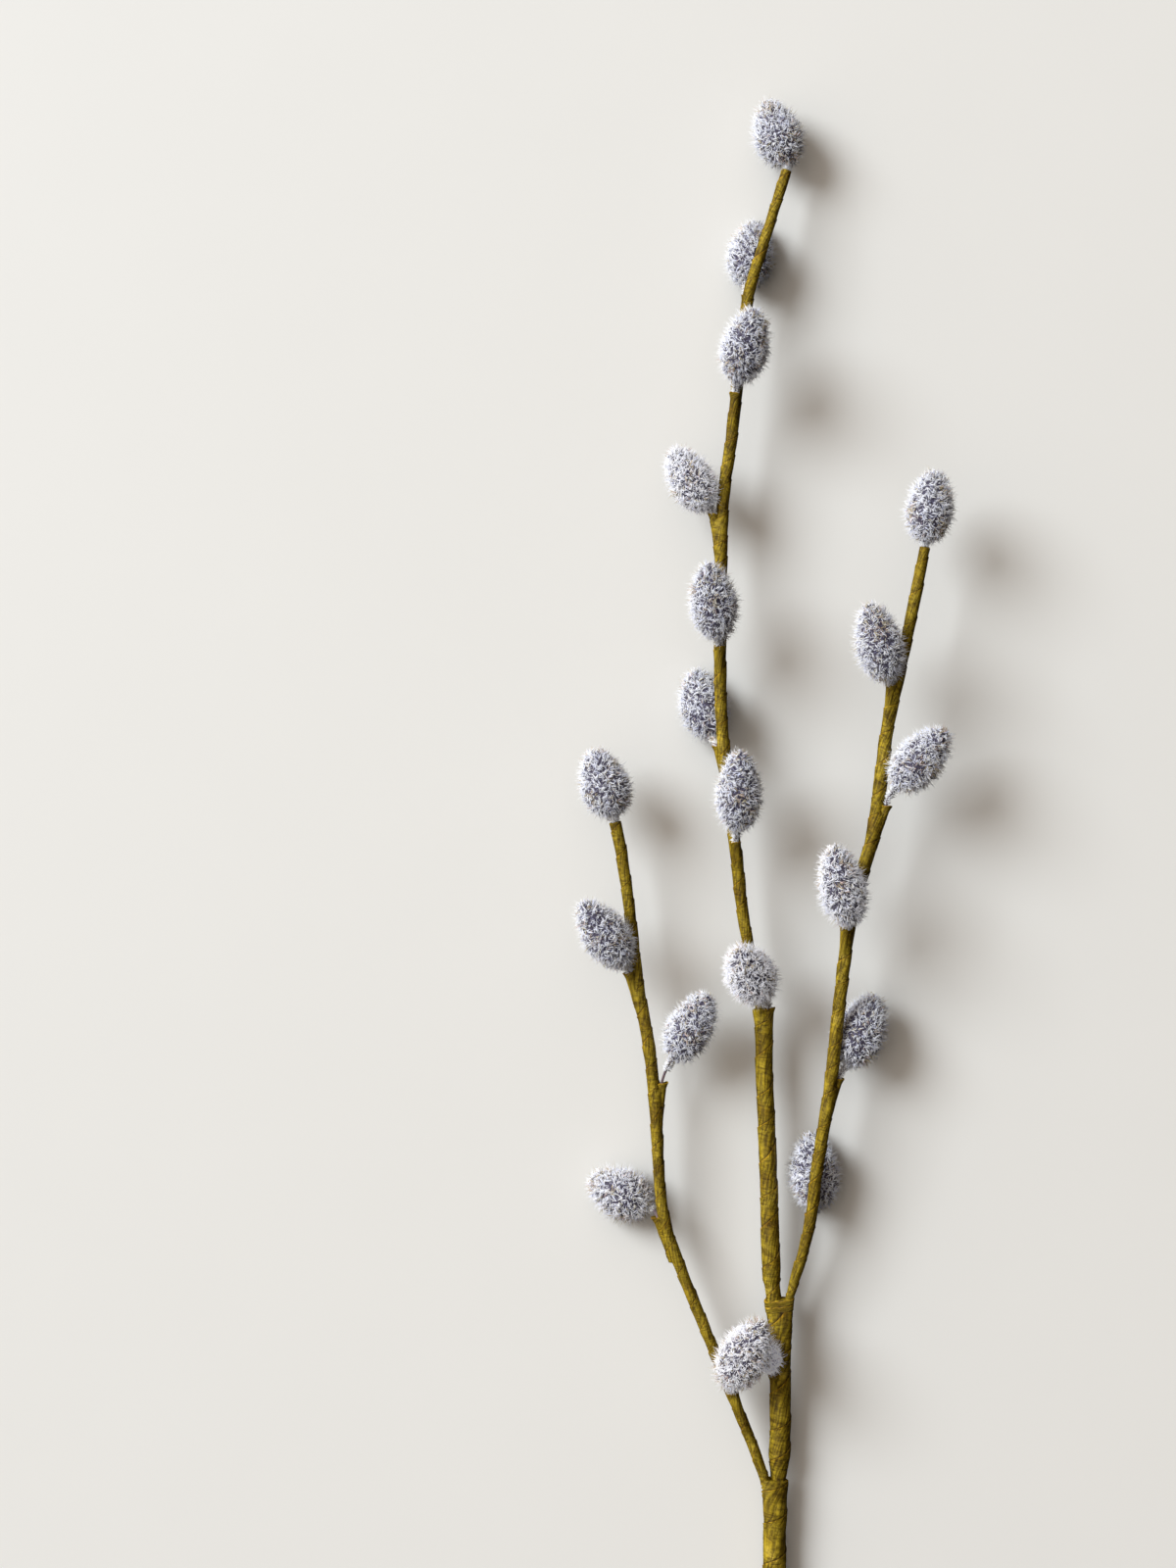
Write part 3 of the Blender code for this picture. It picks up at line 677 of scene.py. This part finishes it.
def build_fur(name, growths, pale):
    """Makes one mesh of all the hairs of a catkin, with each hair's tint in its texture map."""
    all_corners = []
    all_faces = []
    all_maps = []
    all_outward = []
    start = 0
    for strand, corners, tints, outward in growths:
        heights, _, side, at_tip, faces = strand
        count, size = corners.shape[:2]
        corners[..., 2] = np.maximum(corners[..., 2], LEAST_HEIGHT)
        all_corners.append(corners.reshape(-1, 3))
        all_outward.append(np.repeat(outward, size, axis=0))
        u = (tints[:, None] + 0.2 + 0.3 * np.where(at_tip, 1, side)[None]) / TINTS
        v = np.broadcast_to(0.02 + 0.96 * heights[None], (count, size))
        all_maps.append(np.stack([u, v], axis=-1).reshape(-1, 2))
        starts = start + size * np.arange(count)
        for face in faces:
            all_faces.append((starts[:, None] + np.array(face)[None]).tolist())
        start += count * size
    mesh = bpy.data.meshes.new(name)
    mesh.from_pydata(np.vstack(all_corners), [], [face for group in all_faces for face in group])
    corner_of_loop = np.empty(len(mesh.loops), np.int32)
    mesh.loops.foreach_get("vertex_index", corner_of_loop)
    places = np.vstack(all_maps)[corner_of_loop].astype(np.float32)
    mesh.uv_layers.new(name="OFBake").data.foreach_set("uv", places.ravel())
    fur = bpy.data.objects.new(name, mesh)
    bpy.context.scene.collection.objects.link(fur)
    mesh.shade_smooth()
    own = np.empty(len(mesh.vertices) * 3, np.float32)
    mesh.vertex_normals.foreach_get("vector", own)
    coat = unit(np.vstack(all_outward) + np.array([0.0, 0.0, SKY_NORMAL + PALE_SKY * pale]))
    blended = own.reshape(-1, 3) * (1 - COAT_NORMAL) + coat * COAT_NORMAL
    mesh.normals_split_custom_set_from_vertices(unit(blended).tolist())
    return fur


def patches(places, scale, seed):
    """Gives smooth patches over the places, between -1 and 1."""
    shift = Vector((seed * 1.3, seed * 2.1, 0.0))
    return np.array([noise.noise(Vector(place) * scale + shift) for place in places])


def pick_tints(rng, layer, place, share, seed, pale, browned):
    """Gives each hair one of a layer's tints, or a brown near the tip and in a few spots; paler undercoat near the neck
    is painted light, and the glowing tint of some pale hairs is painted light too.
    """
    count = len(share)
    tints = rng.integers(*layer.tints, count)
    near_tip = np.clip((share - 0.78) / 0.2, 0, 1) * 0.22
    spots = np.clip((patches(place, 230, seed) - 0.20) * 4, 0, 1) * 0.5
    brown = rng.uniform(0, 1, count) < near_tip + spots + 0.04 + browned
    tints[brown] = rng.choice(BROWN_TINTS, brown.sum())
    if layer is UNDERCOAT:
        # Undercoat hairs near the neck are paler: painted light where the neck's shade falls
        neck_painted_light = np.clip(1 - share / 0.14, 0, 1)
        light = rng.uniform(0, 1, count) < np.maximum(pale, neck_painted_light)
        tints[light] = rng.integers(*BRIGHT_TINTS, light.sum())
    # Some pale hairs of the palest catkins take the glowing tint: painted light
    glowing = rng.uniform(0, 1, count) < (0.0 if layer is STALK_FUZZ else (pale - 0.6) * 1.5)
    glowing &= (tints >= BRIGHT_TINTS[0]) & (tints < BRIGHT_TINTS[1])
    tints[glowing] = GLOWING_TINT
    return tints


def grow_layer(layer, coat, rng, amount, first_row, last_row, seed, pale, browned=0.0):
    """Grows one layer of hair, lock by lock, between two rows of a coat."""
    locks = int(layer.locks * amount)
    hairs = locks * layer.lock

    def shared(values):
        """Gives every hair of a lock the lock's own value."""
        return np.repeat(values, layer.lock, axis=0)

    place, outward, tipward, sideways, depth, share = [
        shared(values) for values in coat.roots(rng, locks, first_row, last_row)
    ]
    spread = LOCK_SPREAD if layer.lock > 1 else 0.0
    place = place + rng.normal(0, 1, (hairs, 3)) * spread
    turn = LOCK_TURN if layer.lock > 1 else 0.0
    lean = shared(rng.uniform(*layer.lean, locks)) + rng.normal(0, 1, hairs) * turn * 0.5
    curl = shared(rng.uniform(*layer.curl, locks)) + rng.normal(0, 1, hairs) * turn
    heading = shared(rng.uniform(-layer.heading, layer.heading, locks)) + rng.normal(0, 1, hairs) * turn
    swirl = shared(rng.normal(0, 1.2, locks)) + rng.normal(0, 1, hairs) * turn
    length = depth * rng.uniform(*layer.reach, hairs)
    corners = grow(
        layer.strand, (place, outward, tipward, sideways), length,
        rng.uniform(*layer.thick, hairs) * (1 + PALE_THICKER * pale),
        lean, curl, heading, swirl, layer.widths,
    )
    return layer.strand, corners, pick_tints(rng, layer, place, share, seed, pale, browned), outward


def furry_catkin(node, seed):
    """Makes one catkin: dark core, which is painted shade between the hairs, fuzzy stalk, dim undercoat, bright curls
    and stray hairs.
    """
    catkin = catkins[node]
    rng = np.random.default_rng(seed)
    amount = 0.32 if catkin.girth < 0.005 else 1.0
    pale = PALE.get(node, USUAL_PALE)
    coat = Coat(catkin, node in BARE_STALKS)
    last = len(coat.centres) - 1
    body = coat.body_start
    # The small lobe's core is lighter, painted light against the shade it lies in
    core_tint = LOBE_LIGHTENED_CORE_TINT if node == "middle_stem_catkin" else SHADED_CORE_TINT
    core = coat.core(node + "_core", (core_tint / TINTS + 0.005, 0.0, (core_tint + 1) / TINTS - 0.005, 1.0))
    browned = BROWNED.get(node, 0.0)
    growths = [
        grow_layer(layer, coat, rng, amount, body - 1, last, seed, pale, browned) for layer in BODY_LAYERS
    ]
    growths.append(grow_layer(STALK_FUZZ, coat, rng, 1.0, coat.bare_rows, body - 1, seed, pale))
    fur = build_fur(node + "_fur", growths, pale)
    for unused in [layer for layer in core.data.uv_layers if layer.name != "OFBake"]:
        core.data.uv_layers.remove(unused)
    core.data.shade_smooth()
    return join([fur, core])


# ---------- materials ----------
def node_of(tree, kind, **settings):
    """Adds a shader node with its settings."""
    item = tree.nodes.new(kind)
    for key, value in settings.items():
        setattr(item, key, value)
    return item


def sums(tree, operation, *values):
    """Adds a Math node on sockets or numbers and gives its result."""
    item = node_of(tree, "ShaderNodeMath", operation=operation)
    for socket, value in zip(item.inputs, values):
        if isinstance(value, (int, float)):
            socket.default_value = value
        else:
            tree.links.new(value, socket)
    return item.outputs[0]


def ramp(tree, factor, stops, blend="LINEAR"):
    """Adds a colour ramp with (place, colour) stops and gives its colour."""
    item = node_of(tree, "ShaderNodeValToRGB")
    item.color_ramp.interpolation = blend
    elements = item.color_ramp.elements
    while len(elements) > 1:
        elements.remove(elements[-1])
    for index, (place, colour) in enumerate(stops):
        element = elements[0] if index == 0 else elements.new(place)
        element.position = place
        element.color = (*colour, 1.0) if len(colour) == 3 else colour
    tree.links.new(factor, item.inputs["Fac"])
    return item.outputs["Color"]


def mix(tree, factor, first, second, blend="MIX"):
    """Adds a colour mix of sockets or colours and gives its result."""
    item = node_of(tree, "ShaderNodeMix", data_type="RGBA", blend_type=blend)
    for socket, value in ((item.inputs[0], factor), (item.inputs[6], first), (item.inputs[7], second)):
        if isinstance(value, (int, float)):
            socket.default_value = value
        elif isinstance(value, tuple):
            socket.default_value = (*value, 1.0)
        else:
            tree.links.new(value, socket)
    return item.outputs[2]


def mottle_group():
    """Builds the uneven mottling that paper, wire and floor share."""
    group = bpy.data.node_groups.new("mottle", "ShaderNodeTree")
    for label, kind in (("Vector", "NodeSocketVector"), ("Scale", "NodeSocketFloat"), ("Sharpness", "NodeSocketFloat")):
        group.interface.new_socket(name=label, in_out="INPUT", socket_type=kind)
    group.interface.new_socket(name="Patches", in_out="OUTPUT", socket_type="NodeSocketFloat")
    group.interface.new_socket(name="Grain", in_out="OUTPUT", socket_type="NodeSocketFloat")
    given = group.nodes.new("NodeGroupInput")
    made = group.nodes.new("NodeGroupOutput")
    coarse = node_of(group, "ShaderNodeTexNoise")
    coarse.inputs["Detail"].default_value = 4.0
    fine = node_of(group, "ShaderNodeTexNoise")
    fine.inputs["Detail"].default_value = 2.0
    group.links.new(given.outputs["Vector"], coarse.inputs["Vector"])
    group.links.new(given.outputs["Vector"], fine.inputs["Vector"])
    group.links.new(given.outputs["Scale"], coarse.inputs["Scale"])
    group.links.new(sums(group, "MULTIPLY", given.outputs["Scale"], 9.0), fine.inputs["Scale"])
    centred = sums(group, "SUBTRACT", coarse.outputs["Fac"], 0.5)
    spread = sums(group, "MULTIPLY", centred, given.outputs["Sharpness"])
    patches = sums(group, "ADD", spread, 0.5)
    item = node_of(group, "ShaderNodeClamp")
    group.links.new(patches, item.inputs["Value"])
    group.links.new(item.outputs[0], made.inputs["Patches"])
    group.links.new(fine.outputs["Fac"], made.inputs["Grain"])
    return group


MOTTLE = mottle_group()


def new_material(name, roughness, metallic=0.0):
    """Makes a material and gives it with its tree and its shader."""
    material = bpy.data.materials.new(name)
    material.use_nodes = True
    tree = material.node_tree
    shader = tree.nodes["Principled BSDF"]
    shader.inputs["Roughness"].default_value = roughness
    shader.inputs["Metallic"].default_value = metallic
    return material, tree, shader


def mottled(tree, vector, scale, sharpness):
    """Places the shared mottling in a material."""
    item = node_of(tree, "ShaderNodeGroup", node_tree=MOTTLE)
    tree.links.new(vector, item.inputs["Vector"])
    item.inputs["Scale"].default_value = scale
    item.inputs["Sharpness"].default_value = sharpness
    return item.outputs["Patches"], item.outputs["Grain"]


def crepe_paper():
    """Makes the olive crepe-paper tape, with painted shade and highlight in its wrinkles and folds and along the
    borders of its turns, cups and bands.
    """
    material, tree, shader = new_material("olive_crepe_paper", 0.7)
    place = node_of(tree, "ShaderNodeTexCoord").outputs["Object"]
    tape = node_of(tree, "ShaderNodeUVMap", uv_map="tape")
    parts = node_of(tree, "ShaderNodeSeparateXYZ")
    tree.links.new(tape.outputs[0], parts.inputs[0])
    across = parts.outputs["X"]
    turns = parts.outputs["Y"]
    wrinkle_place = node_of(tree, "ShaderNodeCombineXYZ")
    round_stem = sums(tree, "ADD", across, sums(tree, "MULTIPLY", turns, 0.85))
    tree.links.new(sums(tree, "MULTIPLY", round_stem, 24.0), wrinkle_place.inputs["X"])
    tree.links.new(sums(tree, "MULTIPLY", turns, 1.8), wrinkle_place.inputs["Y"])
    wrinkles = node_of(tree, "ShaderNodeTexNoise")
    wrinkles.inputs["Scale"].default_value = 1.0
    wrinkles.inputs["Detail"].default_value = 3.0
    wrinkles.inputs["Distortion"].default_value = 0.4
    tree.links.new(wrinkle_place.outputs[0], wrinkles.inputs["Vector"])
    fold_place = node_of(tree, "ShaderNodeCombineXYZ")
    up_stem = sums(tree, "ADD", turns, sums(tree, "MULTIPLY", across, 0.3))
    tree.links.new(sums(tree, "MULTIPLY", up_stem, 15.0), fold_place.inputs["X"])
    tree.links.new(sums(tree, "MULTIPLY", across, 3.5), fold_place.inputs["Y"])
    folds = node_of(tree, "ShaderNodeTexNoise")
    folds.inputs["Scale"].default_value = 1.0
    folds.inputs["Detail"].default_value = 4.0
    folds.inputs["Roughness"].default_value = 0.65
    folds.inputs["Distortion"].default_value = 0.8
    tree.links.new(fold_place.outputs[0], folds.inputs["Vector"])
    tone, grain = mottled(tree, place, 150.0, 2.2)
    colour = ramp(tree, tone, [
        (0.0, (0.160, 0.098, 0.007)), (0.30, (0.235, 0.163, 0.010)), (0.55, (0.285, 0.206, 0.013)),
        (0.80, (0.345, 0.255, 0.022)), (1.0, (0.420, 0.315, 0.045)),
    ])
    # Darker in the hollows of the wrinkles and folds and lighter on their ridges, in step with the bump: painted shade
    # and highlight
    wrinkle_shade_and_highlight = ramp(tree, wrinkles.outputs["Fac"], [(0.36, (0.24, 0.19, 0.13)), (0.47, (0.76, 0.76, 0.73)), (0.60, (1.36, 1.36, 1.26))])
    crease_shade_and_highlight = ramp(tree, folds.outputs["Fac"], [(0.35, (0.34, 0.28, 0.20)), (0.46, (0.82, 0.82, 0.78)), (0.60, (1.28, 1.28, 1.20))])
    shader.inputs["Specular IOR Level"].default_value = 0.2
    colour = mix(tree, 0.8, colour, wrinkle_shade_and_highlight, "MULTIPLY")
    colour = mix(tree, 0.85, colour, crease_shade_and_highlight, "MULTIPLY")
    grain_tone = ramp(tree, grain, [(0.35, (0.72, 0.68, 0.62)), (0.62, (1.12, 1.12, 1.10))])
    colour = mix(tree, 0.6, colour, grain_tone, "MULTIPLY")
    # Painted highlight on the raised side of each turn's step, on the cups' lips and along the bands' tops; painted
    # shade at the foot of each step, inside the cups and under the bands
    edge_light_and_shade = ramp(tree, across, [(0.0, (1.90, 1.60, 1.30)), (0.05, (1.0, 1.0, 1.0)), (0.93, (1.0, 1.0, 1.0)), (0.985, (0.25, 0.21, 0.17))])
    colour = mix(tree, 0.85, colour, edge_light_and_shade, "MULTIPLY")
    tree.links.new(colour, shader.inputs["Base Color"])
    height = sums(tree, "ADD", wrinkles.outputs["Fac"], sums(tree, "MULTIPLY", grain, 0.35))
    height = sums(tree, "ADD", height, folds.outputs["Fac"])
    bump = node_of(tree, "ShaderNodeBump")
    bump.inputs["Strength"].default_value = 0.9
    bump.inputs["Distance"].default_value = 0.00032
    tree.links.new(height, bump.inputs["Height"])
    tree.links.new(bump.outputs[0], shader.inputs["Normal"])
    rough = sums(tree, "ADD", sums(tree, "MULTIPLY", grain, 0.25), 0.45)
    tree.links.new(rough, shader.inputs["Roughness"])
    return material


def drawn_wire():
    """Makes the dull drawn steel of the wires."""
    material, tree, shader = new_material("drawn_steel_wire", 0.4, 1.0)
    place = node_of(tree, "ShaderNodeTexCoord").outputs["Object"]
    stretch = node_of(tree, "ShaderNodeMapping")
    stretch.inputs["Scale"].default_value = (1.0, 0.12, 1.0)
    tree.links.new(place, stretch.inputs["Vector"])
    patches, grain = mottled(tree, stretch.outputs[0], 900.0, 2.0)
    colour = ramp(tree, patches, [(0.0, (0.16, 0.13, 0.11)), (0.5, (0.34, 0.33, 0.31)), (1.0, (0.48, 0.47, 0.45))])
    tree.links.new(colour, shader.inputs["Base Color"])
    tree.links.new(sums(tree, "ADD", sums(tree, "MULTIPLY", grain, 0.3), 0.28), shader.inputs["Roughness"])
    return material


def catkin_fur():
    """Makes the fur: each hair in the tint of its own strip, dark at its root and paler to its tip; the dark roots are
    painted shade deep in the fur.
    """
    material, tree, shader = new_material("blue_grey_fur", 0.62)
    strip = node_of(tree, "ShaderNodeUVMap", uv_map="OFBake")
    parts = node_of(tree, "ShaderNodeSeparateXYZ")
    tree.links.new(strip.outputs[0], parts.inputs[0])
    # Tints 0 to 3 are dim hairs, 4 to 7 pale ones, 8 to 10 brown, 11 the core, near black as painted shade between the
    # hairs, and 12 pale hair with a painted glow
    tips = [
        (0.09, 0.09, 0.18), (0.18, 0.18, 0.32), (0.045, 0.04, 0.09), (0.33, 0.345, 0.53), (0.83, 0.87, 1.0),
        (0.87, 0.91, 1.0), (0.92, 0.95, 1.0), (0.73, 0.78, 0.98), (0.46, 0.38, 0.25), (0.60, 0.48, 0.47),
        (0.56, 0.52, 0.38), (0.045, 0.038, 0.065), (0.86, 0.87, 0.94),
    ]
    # Root colours, darker than the tips: painted shade deep in the fur
    roots = [
        (0.04, 0.035, 0.055), (0.06, 0.055, 0.08), (0.03, 0.025, 0.035), (0.08, 0.08, 0.11), (0.18, 0.17, 0.22),
        (0.26, 0.25, 0.30), (0.32, 0.31, 0.36), (0.12, 0.11, 0.16), (0.11, 0.08, 0.05), (0.16, 0.12, 0.11),
        (0.12, 0.10, 0.07), (0.230, 0.140, 0.130), (0.26, 0.25, 0.30),
    ]
    tip_colour = ramp(tree, parts.outputs["X"], [(i / TINTS, c) for i, c in enumerate(tips)], "CONSTANT")
    shaded_root_colour = ramp(tree, parts.outputs["X"], [(i / TINTS, c) for i, c in enumerate(roots)], "CONSTANT")
    # Each hair darkens toward its root: painted shade between the hairs
    fade = ramp(tree, parts.outputs["Y"], [(0.03, (0, 0, 0)), (0.16, (0.45, 0.45, 0.45)), (0.40, (1, 1, 1))])
    colour = mix(tree, fade, shaded_root_colour, tip_colour)
    pile_place = node_of(tree, "ShaderNodeCombineXYZ")
    tree.links.new(sums(tree, "MULTIPLY", parts.outputs["X"], PILE_ROUND), pile_place.inputs["X"])
    tree.links.new(sums(tree, "MULTIPLY", parts.outputs["Y"], PILE_ALONG), pile_place.inputs["Y"])
    pile = node_of(tree, "ShaderNodeTexNoise")
    pile.inputs["Scale"].default_value = 1.0
    pile.inputs["Detail"].default_value = 1.0
    tree.links.new(pile_place.outputs[0], pile.inputs["Vector"])
    # Tufts of dark pile on the core, detail within its painted shade
    on_core = sums(tree, "COMPARE", parts.outputs["X"], (SHADED_CORE_TINT + 0.5) / TINTS, 0.5 / TINTS)
    tufts = ramp(tree, pile.outputs["Fac"], [(0.50, (0, 0, 0)), (0.60, (1, 1, 1))])
    colour = mix(tree, sums(tree, "MULTIPLY", on_core, tufts), colour, PILE_COLOUR)
    tree.links.new(colour, shader.inputs["Base Color"])
    # Hairs of the glowing tint glow faintly in their own colour: painted light
    glowing = sums(tree, "GREATER_THAN", parts.outputs["X"], GLOWING_TINT / TINTS)
    tree.links.new(mix(tree, glowing, (0.0, 0.0, 0.0), colour), shader.inputs["Emission Color"])
    shader.inputs["Emission Strength"].default_value = HAIR_GLOW
    shader.inputs["Sheen Weight"].default_value = 0.6
    shader.inputs["Sheen Roughness"].default_value = 0.5
    shader.inputs["Specular IOR Level"].default_value = 0.25
    return material


def floor_paint():
    """Makes the pale warm-grey surface that the twig lies on."""
    material, tree, shader = new_material("pale_surface", 0.85)
    place = node_of(tree, "ShaderNodeTexCoord").outputs["Object"]
    patches, grain = mottled(tree, place, 3.0, 1.2)
    colour = ramp(tree, patches, [(0.0, (0.776, 0.790, 0.788)), (1.0, (0.801, 0.815, 0.814))])
    colour = mix(tree, 0.04, colour, ramp(tree, grain, [(0.3, (0.85, 0.85, 0.85)), (0.7, (1, 1, 1))]), "MULTIPLY")
    bounced = mix(tree, 1.0, colour, (FLOOR_BOUNCE, FLOOR_BOUNCE, FLOOR_BOUNCE), "MULTIPLY")
    seen = node_of(tree, "ShaderNodeLightPath").outputs["Is Camera Ray"]
    colour = mix(tree, seen, bounced, colour)
    tree.links.new(colour, shader.inputs["Base Color"])
    shader.inputs["Specular IOR Level"].default_value = 0.2
    return material


# ---------- camera, light and floor ----------
def studio_light():
    """Makes the soft fill, strongest from the window's side, and the plain backdrop seen past the floor."""
    world = bpy.data.worlds.new("studio")
    world.use_nodes = True
    tree = world.node_tree
    fill = tree.nodes["Background"]
    fill.inputs["Color"].default_value = (*FILL_COLOUR, 1.0)
    facing = node_of(tree, "ShaderNodeVectorMath", operation="DOT_PRODUCT")
    tree.links.new(node_of(tree, "ShaderNodeTexCoord").outputs["Generated"], facing.inputs[0])
    facing.inputs[1].default_value = FILL_WAY
    glow = sums(tree, "MAXIMUM", sums(tree, "ADD", facing.outputs["Value"], FILL_EVEN), 0.0)
    tree.links.new(sums(tree, "MULTIPLY", glow, FILL_STRENGTH), fill.inputs["Strength"])
    backdrop = node_of(tree, "ShaderNodeBackground")
    backdrop.inputs["Color"].default_value = (*BACKDROP_COLOUR, 1.0)
    choice = node_of(tree, "ShaderNodeMixShader")
    tree.links.new(node_of(tree, "ShaderNodeLightPath").outputs["Is Camera Ray"], choice.inputs[0])
    tree.links.new(fill.outputs[0], choice.inputs[1])
    tree.links.new(backdrop.outputs[0], choice.inputs[2])
    tree.links.new(choice.outputs[0], tree.nodes["World Output"].inputs["Surface"])
    return world


def set_stage():
    """Places the camera, the lamp, the fill and the floor."""
    camera = bpy.data.cameras.new("camera")
    camera.lens = LENS
    camera.sensor_width = SENSOR
    camera.clip_start = 0.05
    view = bpy.data.objects.new("camera", camera)
    view.location = CAMERA_PLACE
    bpy.context.scene.collection.objects.link(view)
    bpy.context.scene.camera = view
    bpy.context.scene.view_settings.view_transform = "Standard"
    lamp = bpy.data.lights.new("window", "AREA")
    lamp.shape = "DISK"
    lamp.size = LAMP_SIZE
    lamp.energy = LAMP_WATTS
    lamp.color = LAMP_COLOUR
    window = bpy.data.objects.new("window", lamp)
    flat = math.cos(LAMP_RISE) * LAMP_DISTANCE
    toward = Vector((math.cos(LAMP_SIDE) * flat, math.sin(LAMP_SIDE) * flat, math.sin(LAMP_RISE) * LAMP_DISTANCE))
    window.location = Vector((CAMERA_PLACE[0], CAMERA_PLACE[1], 0.0)) + toward
    window.rotation_euler = toward.to_track_quat("Z", "Y").to_euler()
    bpy.context.scene.collection.objects.link(window)
    bpy.context.scene.world = studio_light()
    bpy.ops.object.select_all(action="DESELECT")
    bpy.ops.mesh.primitive_plane_add(size=8)
    floor = bpy.context.object
    floor.name = "floor"
    floor.data.materials.append(floor_paint())


set_stage()
paper = crepe_paper()
steel = drawn_wire()
fur_material = catkin_fur()

for wire in ("main_wire", "left_wire", "right_wire"):
    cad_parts[wire].data.materials.clear()
    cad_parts[wire].data.materials.append(steel)

for seed, stretch in enumerate(STRETCHES):
    pieces = [wrapped_stem(stretch, seed + 1)]
    holders = catkins_on(stretch)
    cells = len(holders) + 2
    for index, holder in enumerate(holders):
        cell = (0.80, (index + 0.05) / cells, 0.99, (index + 0.95) / cells)
        stem_point = PATHS[stretch].at(holder.mouth[1])[0]
        pieces.append(paper_cup(holder.node + "_cup", holder, stem_point, cell, seed * 2.0 + index))
    if stretch == BANDED:
        top = STRETCHES[stretch][0][-1][0]
        for index, low in enumerate((top - 0.0037, top - 0.0019)):
            cell = (0.80, (cells - 2 + index + 0.05) / cells, 0.99, (cells - 2 + index + 0.95) / cells)
            pieces.append(tape_band(f"{stretch}_band_{index}", stretch, low, 0.0002, cell))
    stem = join(pieces)
    stem.data.materials.clear()
    stem.data.materials.append(paper)
    bpy.ops.object.shade_smooth_by_angle(angle=math.radians(50))
    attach(stem, "root")
    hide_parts(stretch)

for seed, node_name in enumerate(catkins):
    head = furry_catkin(node_name, seed + 11)
    head.data.materials.clear()
    head.data.materials.append(fur_material)
    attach(head, "root")
    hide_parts(node_name)
